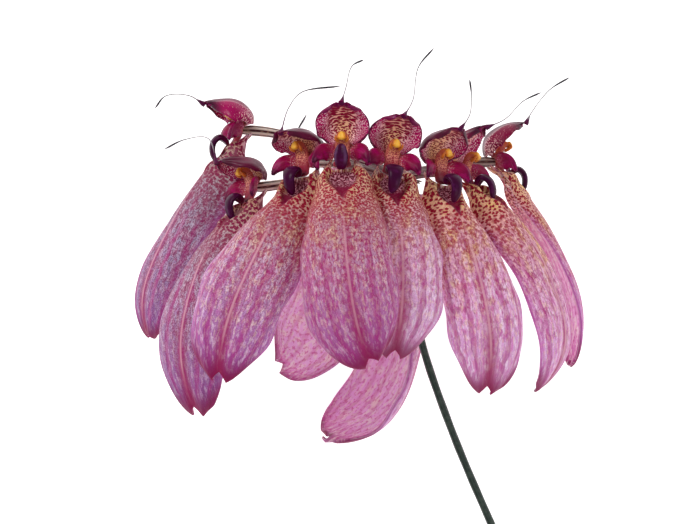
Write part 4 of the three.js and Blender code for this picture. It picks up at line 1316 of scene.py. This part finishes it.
# %% The lips
def lip_material():
    made, tree = new_material("lip skin")
    along, skin = mark(tree, "along"), skin_place(tree)
    colour = ramp(tree, along, [(0.0, tone(104, 4, 42)), (0.3, tone(70, 0, 44)),
                                (0.7, tone(56, 0, 44)), (1.0, tone(72, 2, 42))])
    colour = effect(tree, CLOUDS, Place=skin, Ground=colour, Cloud=tone(86, 20, 78), Share=0.5,
                    Per_mm=0.7, From=0.5, To=0.68)
    # painted highlight: a paler violet-grey stripe on each side of the groove, standing in for the
    # sheen of light on the dark lip
    from_groove = calc(tree, "ABSOLUTE", calc(tree, "SUBTRACT", mark(tree, "around"), 0.25))
    groove_highlight = times(tree, band(tree, from_groove, 0.06, 0.12, 0.14, 0.2),
                   band(tree, along, 0.3, 0.5, 0.85, 1.0), 0.2)
    colour = mix(tree, groove_highlight, colour, tone(146, 110, 156))
    finish_material(tree, colour, 0.3, grain(tree, skin, 4.0, 0.3), Specular_IOR_Level=0.08,
                    Coat_Weight=0.04, Coat_Roughness=0.2)
    return made


lip_paint = lip_material()
for f in FLOWERS:
    made = piece("lip_" + f["name"], [lip(f)], lip_paint)
    stand_for(made, "lip", f"flower_{f['name']}_lip")
print(len(FLOWERS), "lips,", len(made.data.polygons), "faces each")

# %% [markdown]
# ## The column
#
# In an orchid the stamen and the pistil are grown into one thick column. Its front is hollowed
# between two ridges, it ends below in a foot that carries the lip, and on top sits the bright
# yellow anther cap between two small bristles. The column is swept, with a cross section that
# changes along it; the cap is a ball that is squeezed into shape and creased in the middle.

# %% The column's mesh
COLUMN_LINE = [(0, 3.4, 2.7), (0, 3.3, 1.6), (0, 2.2, 0.9), (0, 0.8, 0.6), (0, -1.2, 0.9),
               (0, -2.8, 2.0)]
column_half_depth = profile([(0, 0.65), (0.2, 0.85), (0.5, 0.75), (0.8, 0.7), (1, 0.55)])
column_half_width = profile([(0, 0.75), (0.2, 1.15), (0.45, 1.42), (0.7, 1.45), (0.85, 1.55),
                             (0.94, 1.75), (1, 1.1)])
COLUMN_RINGS, COLUMN_SIDES = 52, 28


def column_body(f, head):
    t = close_at_ends(COLUMN_RINGS)
    centres, along = through(head.place(COLUMN_LINE), t)
    front = np.cross(along, head.right)
    a = (np.arange(COLUMN_SIDES) + 0.5) * 2 * np.pi / COLUMN_SIDES
    x, y, ahead = np.cos(a)[None], np.sin(a)[None], (np.sin(a) > 0)[None]
    hollow = (0.3 + 0.75 * bump(t, 0.17, 0.08))[:, None]
    ridge = (0.35 * ease(t, 0.05, 0.15) * (1 - ease(t, 0.8, 0.95)))[:, None]
    y = y + ahead * (ridge * bump(np.abs(x), 0.78, 0.16) - hollow * bump(x, 0, 0.5))
    section = np.stack([np.broadcast_to(x, y.shape), y], -1)
    close = np.maximum(np.minimum(ease(t, -0.02, 0.03), 1 - ease(t, 0.965, 1.02)), 0.08)
    points, faces = sweep(centres, along, front, column_half_width(t) * close,
                          column_half_depth(t) * close, section)
    far = along_sweep(t, COLUMN_SIDES)
    skin = np.c_[round_sweep(a, COLUMN_RINGS) * 1.2, far * 9 + 5 * f["seed"]]
    across = round_sweep(np.abs(np.cos(a)), COLUMN_RINGS)
    return points, faces, skin, dict(along=far, across=across, cap=0.0, warm=f["warm"])


# %% The anther cap and the two bristles
CAP_AT, CAP_SIZE = np.array([0, 3.3, 2.9]), np.array([0.86, 0.84, 0.62])
CAP_ROWS, CAP_SIDES = 18, 28
BRISTLE_LINE = np.array([(0.8, 2.3, 2.1), (1.1, 2.6, 2.7), (1.2, 3.0, 3.1), (1.1, 3.4, 3.4)])
BRISTLE_RINGS, BRISTLE_SIDES = 14, 8
bristle_size = profile([(0, 0.34), (0.35, 0.3), (0.7, 0.16), (1, 0.05)])


def cap(head):
    lift, a = ball_grid(CAP_ROWS, CAP_SIDES)
    x, y, z = np.cos(lift) * np.sin(a), np.sin(lift), np.cos(lift) * np.cos(a)
    x = x * (1 - 0.48 * y)  # narrower above
    z = z - 0.3 * bump(x, 0, 0.22) * (z > 0) * z + 0.25 * bump(y, -0.5, 0.4) * (z > 0)  # creased
    ball = np.vstack([np.stack([x, y, z], -1).reshape(-1, 3), [[0, -1, 0], [0, 1, 0]]])
    points = head.place(ball * CAP_SIZE + CAP_AT)
    marks = dict(cap=1.0, along=0.0, across=np.abs(ball[:, 0]))
    return points, ball_faces(CAP_ROWS, CAP_SIDES), ball[:, :2] * 2, marks


def bristle(head, side):
    t = np.linspace(0, 1, BRISTLE_RINGS)
    centres, along = through(head.place(BRISTLE_LINE * [side, 1, 1]), t)
    size, top = bristle_size(t), np.broadcast_to(head.up, along.shape)
    points, faces = sweep(centres, along, top, size, size, ring(BRISTLE_SIDES))
    far = along_sweep(t, BRISTLE_SIDES)
    return points, faces, np.c_[far, far], dict(cap=0.05, along=0.12 + far * 0.05, across=0.0)


print("a column has", COLUMN_RINGS * COLUMN_SIDES, "points, its cap", (CAP_ROWS - 1) * CAP_SIDES)

# %% [markdown]
# ## The column's paint
#
# Orange-tan, stippled all over with tiny red dots, redder along the ridges, and dark maroon at the
# foot. The number `cap` turns the yellow of the anther cap on.

# %% The columns
def column_material():
    made, tree = new_material("column skin")
    along, across, skin = mark(tree, "along"), mark(tree, "across"), skin_place(tree)
    body = ramp(tree, along, [
        (0.0, tone(200, 120, 50)), (0.15, tone(206, 110, 46)), (0.3, tone(224, 146, 108)),
        (0.6, tone(230, 146, 128)), (0.78, tone(146, 22, 54)), (1.0, tone(86, 2, 38))])
    orange = times(tree, mark(tree, "warm"), band(tree, along, 0.1, 0.3, 0.5, 0.65), 0.5)
    body = mix(tree, orange, body, tone(214, 132, 74))
    body = effect(tree, SPOTS, Place=skin, Ground=body, Spot=tone(150, 24, 52), Cells_per_mm=3.0,
                  Cover=0.38, Softness=0.12, Wobble=0.5,
                  Share=band(tree, along, 0.15, 0.3, 0.85, 1.0))
    ridges = times(tree, between(tree, across, 0.72, 0.95), 0.5)
    body = mix(tree, ridges, body, tone(176, 66, 80))
    yellow = ramp(tree, across, [(0.0, tone(250, 192, 76)), (0.5, tone(242, 166, 48)),
                                 (1.0, tone(190, 84, 20))])
    yellow = effect(tree, CLOUDS, Place=skin, Ground=yellow, Cloud=tone(240, 182, 96), Share=0.6,
                    Per_mm=1.2, From=0.5, To=0.65)
    colour = mix(tree, mark(tree, "cap"), body, yellow)
    finish_material(tree, colour, 0.4, grain(tree, skin, 6.0, 0.3), Subsurface_Weight=0.1,
                    Subsurface_Scale=MM, Coat_Weight=0.1, Coat_Roughness=0.3)
    return made


column_paint = column_material()
for f in FLOWERS:
    head = Head(f)
    parts = [column_body(f, head), cap(head), bristle(head, 1), bristle(head, -1)]
    made = piece("column_" + f["name"], parts, column_paint)
    stand_for(made, "column", f"flower_{f['name']}_column")
print(len(FLOWERS), "columns with their caps and bristles")

# %% [markdown]
# ## Stalks that follow a line
#
# The scape, the ten pedicels and the ten threads are all long, thin and round, and follow a line.
# That is what Curve to Mesh is for. One Geometry Nodes tree makes them all: it takes plain lines
# with a `girth` at each point, and lays a ribbed ring along them. The number `rib` stays on the
# surface, so that the paint can follow the ribs.

# %% The stalk tree
def make_stalk_tree():
    tree, given, result = sized_tree("ribbed stalk", [
        ("Sides", "Int", 24), ("Ribs", "Int", 6), ("Rib Height", "Float", 0.1),
        ("Stalk Material", "Material", None)])
    line = put(tree, "GeometryNodeMeshToCurve", {"Mesh": given["Geometry"]}).outputs["Curve"]
    circle = put(tree, "GeometryNodeCurvePrimitiveCircle", mode="RADIUS",
                 inputs={"Resolution": given["Sides"], "Radius": 1.0})
    place = put(tree, "GeometryNodeInputIndex").outputs[0]
    turn = times(tree, calc(tree, "DIVIDE", place, given["Sides"]), given["Ribs"], 2 * math.pi)
    rib = calc(tree, "COSINE", turn)
    marked = put(tree, "GeometryNodeStoreNamedAttribute", data_type="FLOAT", domain="POINT",
                 inputs={"Geometry": circle.outputs["Curve"], "Name": "rib", "Value": rib})
    outwards = put(tree, "ShaderNodeVectorMath", operation="SCALE", inputs={
        0: put(tree, "GeometryNodeInputPosition").outputs[0],
        "Scale": times(tree, rib, given["Rib Height"])})
    ribbed = put(tree, "GeometryNodeSetPosition", {
        "Geometry": marked.outputs["Geometry"], "Offset": outwards.outputs[0]})
    tube = put(tree, "GeometryNodeCurveToMesh", {
        "Curve": line, "Profile Curve": ribbed.outputs["Geometry"],
        "Scale": carried(tree, "girth"), "Fill Caps": True})
    tube = put(tree, "GeometryNodeSetShadeSmooth", {"Geometry": tube.outputs["Mesh"]})
    tube = put(tree, "GeometryNodeRealizeInstances", {"Geometry": tube.outputs["Geometry"]})
    tube = put(tree, "GeometryNodeSetMaterial", {
        "Geometry": tube.outputs["Geometry"], "Material": given["Stalk Material"]})
    tree.links.new(tube.outputs["Geometry"], result)
    return tree


STALK = make_stalk_tree()
print("the stalk tree has", len(STALK.nodes), "nodes")


# %% Lines made into stalks
def stalks(name, lines, material, sides, ribs, rib_height):
    """Lines as (points in mm, girth in mm, how far along), made into one piece of tubes."""
    points, girth, far = (list(column) for column in zip(*lines))
    edges, start = [], 0
    for p in points:
        edges += [(start + i, start + i + 1) for i in range(len(p) - 1)]
        start += len(p)
    made = new_object(name, np.vstack(points), edges, [])
    write_mark(made.data, "girth", np.concatenate(girth) * MM)
    write_mark(made.data, "far", np.concatenate(far))
    return grown(made, STALK, Sides=sides, Ribs=ribs, Rib_Height=rib_height,
                 Stalk_Material=material)


def length_along(points):
    return np.r_[0, np.cumsum(np.linalg.norm(np.diff(points, axis=0), axis=1))]


# %% [markdown]
# ## The stalks' paint
#
# The scape is a dark grey green. A pedicel is cream with a dark line in each furrow, and painted
# darker towards the hub: painted shade where the pedicels run in among the flowers. A thread is
# dark at its root, then pale and almost clear, and ends dark again.

# %% The stalks' materials
def streaky(tree, per_metre, depth, **others):
    """Fine streaks in space, and the bumps that go with them."""
    place = put(tree, "ShaderNodeTexCoord").outputs["Object"]
    streaks = put(tree, "ShaderNodeTexNoise", {"Vector": place, "Scale": per_metre, **others})
    bumps = {"Strength": 0.3, "Distance": depth, "Height": streaks.outputs["Fac"]}
    return streaks.outputs["Fac"], put(tree, "ShaderNodeBump", bumps).outputs["Normal"]


def stalk_material(name, crest, furrow, cloud, soft, hub_shade=None):
    made, tree = new_material(name)
    streaks, normal = streaky(tree, 900.0, 0.1 * MM, Detail=3.0)
    colour = mix(tree, between(tree, mark(tree, "rib"), -soft, soft), furrow, crest)
    colour = mix(tree, times(tree, between(tree, streaks, 0.45, 0.65), 0.5), colour, cloud)
    # painted shade: darker towards the hub, where the pedicels run in among the flowers
    if hub_shade:
        colour = mix(tree, between(tree, mark(tree, "far"), 12.0, 28.0, 0.8, 0.0), colour, hub_shade)
    finish_material(tree, colour, 0.42, normal, Coat_Weight=0.1)
    return made


def thread_material():
    made, tree = new_material("thread")
    streaks, normal = streaky(tree, 1500.0, 0.05 * MM, Detail=2.0)
    colour = ramp(tree, mark(tree, "far"), [
        (0.0, tone(84, 4, 58)), (0.12, tone(80, 8, 62)), (0.2, tone(150, 140, 146)),
        (0.5, tone(186, 184, 184)), (0.72, tone(90, 88, 92)), (0.85, tone(40, 38, 44)),
        (1.0, tone(70, 60, 70))])
    finish_material(tree, colour, between(tree, streaks, 0.3, 0.7, 0.35, 0.55), normal)
    return made


scape_paint = stalk_material("scape skin", crest=tone(52, 68, 60), furrow=tone(26, 36, 32),
                             cloud=tone(72, 84, 74), soft=1.0)
pedicel_paint = stalk_material("pedicel skin", crest=tone(214, 196, 184), furrow=tone(66, 26, 34),
                               cloud=tone(176, 140, 116), soft=0.4, hub_shade=tone(84, 48, 50))
thread_paint = thread_material()
print("paints:", [made.name for made in (scape_paint, pedicel_paint, thread_paint)])

# %% [markdown]
# ## Scape, pedicels and threads
#
# Now the lines themselves. The scape runs from the hub to its cut end on the surface. Each pedicel
# leaves the hub in its flower's direction and swells into the ovary just behind the flower. Each
# thread starts as a thick dark point in the hood's notch, and thins at once.

# %% The scape
SCAPE_LINE = [(0.2, -2.6, -0.4), (2.2, -16, -3), (5.4, -32, -8.5), (11.6, -50, -16.5),
              (19.4, -68.4, -24), (27.5, -86, -28.12)]
SCAPE_GIRTH = 0.76  # mm from its middle to its skin
points, _ = through(HUB + np.array(SCAPE_LINE), np.linspace(0, 1, 70))
far = length_along(points)
girth = SCAPE_GIRTH * (1 + 0.03 * np.sin(far * 0.7))
made = stalks("scape", [(points, girth, far)], scape_paint, sides=24, ribs=8, rib_height=0.03)
stand_for(made, "scape", "scape")
print("scape", round(far[-1]), "mm long")

# %% The pedicels
pedicel_girth = profile([(0, 0.75), (0.55, 0.72), (0.8, 0.92), (0.95, 0.95), (1, 0.8)])
OVARY_END = 0.5  # mm behind the flower's own origin
lines, leaving = [], []
for f in FLOWERS:
    head = Head(f)
    end = head.place((0, 0, -OVARY_END))
    reach = np.linalg.norm(end - HUB)
    leave = (end - HUB) * 0.35 + np.array([0, reach * 0.1, 0])
    t = np.linspace(0, 1, 44)
    arriving = head.place((0, 0, -OVARY_END - reach * 0.25))
    points, _ = bezier([HUB, HUB + leave, arriving, end], t)
    points = np.vstack([points, head.place([(0, 0, 0.0), (0, 0, 0.5)])])
    lines.append((points, np.r_[pedicel_girth(t), 0.74, 0.6], length_along(points)))
    leaving.append(unit(leave))
made = stalks("pedicels", lines, pedicel_paint, sides=36, ribs=6, rib_height=0.1)
stand_for(made, "pedicel", "pedicels")
print(len(lines), "pedicels, the longest", round(max(line[2][-1] for line in lines)), "mm")

# %% The threads
thread_girth = profile([(0, 0.12), (0.7, 0.1), (0.8, 0.16), (0.93, 0.18), (1, 0.05)])
thread_root = profile([(0, 0.42), (0.5, 0.38), (1.2, 0.2), (2.2, 0.0), (60, 0.0)])
for f in FLOWERS:
    apex = bezier(hood_spine(f, Head(f)), [0.97])[0][0]
    t = np.linspace(0, 1, 90)
    points, _ = through([apex] + [HUB + p for p in f["thread"]], t)
    girth = thread_girth(t) + np.maximum(thread_root(length_along(points)), 0)
    made = stalks("thread_" + f["name"], [(points, girth, t)], thread_paint, sides=10, ribs=5,
                  rib_height=0.04)
    stand_for(made, "dorsal_sepal", f"flower_{f['name']}_dorsal_sepal")
print(len(FLOWERS), "threads")

# %% [markdown]
# ## The hub and its bracts
#
# Where the pedicels meet there is a small knob, and below each pedicel a pointed bract, a leaf a
# few millimetres long. Each bract is a swept boat shape that ends in a point.

# %% The hub's knob and its bracts
BRACT_START, BRACT_LENGTH, BRACT_RINGS, BRACT_SIDES = 1.0, 4.4, 26, 16
KNOB_RADIUS, KNOB_ROWS, KNOB_SIDES, LOBES = 1.9, 14, 24, 5
bract_width = profile([(0, 1), (0.4, 0.85), (0.8, 0.4), (1, 0.05)])


def bract(direction):
    away = unit(unit(direction) + np.array([0, -0.35, 0]))
    t = np.linspace(0, 1, BRACT_RINGS)
    top = unit(np.array([0, 1, 0]) - away * away[1])
    centres = HUB + away * (BRACT_START + BRACT_LENGTH * t)[:, None] - top * (0.5 * t * t)[:, None]
    along, narrow = unit(np.gradient(centres, axis=0)), bract_width(t)
    a = (np.arange(BRACT_SIDES) + 0.5) * 2 * np.pi / BRACT_SIDES
    section = np.c_[np.cos(a), np.sin(a) + 0.7 * np.cos(a) ** 2]
    points, faces = sweep(centres, along, np.broadcast_to(top, along.shape), 1.25 * narrow,
                          0.34 * narrow**0.5, section)
    far = along_sweep(t, BRACT_SIDES)
    return points, faces, np.c_[far, far], dict(rib=round_sweep(np.cos(LOBES * a), BRACT_RINGS))


def knob():
    lift, a = ball_grid(KNOB_ROWS, KNOB_SIDES)
    size = KNOB_RADIUS + 0.15 * np.sin(LOBES * a) * np.cos(lift)
    ball = np.stack([np.cos(lift) * np.cos(a), np.cos(lift) * np.sin(a), np.sin(lift)], -1)
    poles = [[0, 0, -KNOB_RADIUS], [0, 0, KNOB_RADIUS]]
    points = np.vstack([(ball * size[..., None]).reshape(-1, 3), poles]) + HUB
    return points, ball_faces(KNOB_ROWS, KNOB_SIDES), np.zeros((len(points), 2)), dict(rib=0.0)


bract_paint = stalk_material("bract skin", crest=tone(132, 108, 86), furrow=tone(84, 56, 50),
                             cloud=tone(110, 84, 62), soft=1.2)
made = piece("bracts", [knob()] + [bract(direction) for direction in leaving], bract_paint)
stand_for(made, "pedicel", "pedicels")
print(len(leaving), "bracts")

# %% [markdown]
# ## Camera, light and floor
#
# The umbel lies on a pale surface and the camera looks straight down on it through a long lens. The
# light is soft and comes from everywhere, with a little more from the upper left, so that the
# petals' relief shows without hard shadows. The floor glows a little, which lifts the shadows under
# the petals as a light table would.

# %% Camera
camera = bpy.data.objects.new("camera", bpy.data.cameras.new("camera"))
bpy.context.scene.collection.objects.link(camera)
camera.location = (-0.0019, 0.0144, 0.804)
camera.data.lens, camera.data.sensor_width = 200, 36
camera.data.clip_start, camera.data.clip_end = 0.05, 20
bpy.context.scene.camera = camera
bpy.context.scene.view_settings.view_transform = "Standard"
print("the camera looks down from", round(camera.location.z, 3), "m")

# %% Light
world = bpy.data.worlds.new("soft room")
bpy.context.scene.world = world
world.use_nodes = True
room = world.node_tree.nodes["Background"].inputs
room["Color"].default_value, room["Strength"].default_value = (1.0, 1.0, 1.0, 1.0), 0.5
LIT_PLACE = (0, 0, 0.03)


def lamp(name, place, size, power):
    made = bpy.data.objects.new(name, bpy.data.lights.new(name, "AREA"))
    made.data.shape, made.data.size, made.data.energy = "DISK", size, power
    made.location = place
    made.rotation_mode = "QUATERNION"
    made.rotation_quaternion = Vector(np.subtract(LIT_PLACE, place)).to_track_quat("-Z", "Y")
    bpy.context.scene.collection.objects.link(made)


lamp("window", (-0.55, 0.5, 0.8), 0.45, 5.0)
lamp("fill", (0.7, -0.3, 0.6), 0.6, 1.5)
print("a window and a fill light")

# %% Floor
FLOOR_HALF, FLOOR_LEVEL = 3, -0.0001  # m
corners = [(x * FLOOR_HALF, y * FLOOR_HALF, FLOOR_LEVEL)
           for x, y in ((-1, -1), (1, -1), (1, 1), (-1, 1))]
floor_mesh = bpy.data.meshes.new("floor")
floor_mesh.from_pydata(corners, [], [[0, 1, 2, 3]])
floor = bpy.data.objects.new("floor", floor_mesh)
bpy.context.scene.collection.objects.link(floor)
floor_paint = bpy.data.materials.new("pale floor")
floor_paint.use_nodes = True
pale_glow = {"Base Color": (0.9, 0.9, 0.9, 1), "Roughness": 0.8, "Emission Color": (1, 1, 1, 1),
             "Emission Strength": 0.75}
for key, value in pale_glow.items():
    floor_paint.node_tree.nodes["Principled BSDF"].inputs[key].default_value = value
floor_mesh.materials.append(floor_paint)
print("floor", 2 * FLOOR_HALF, "m wide")
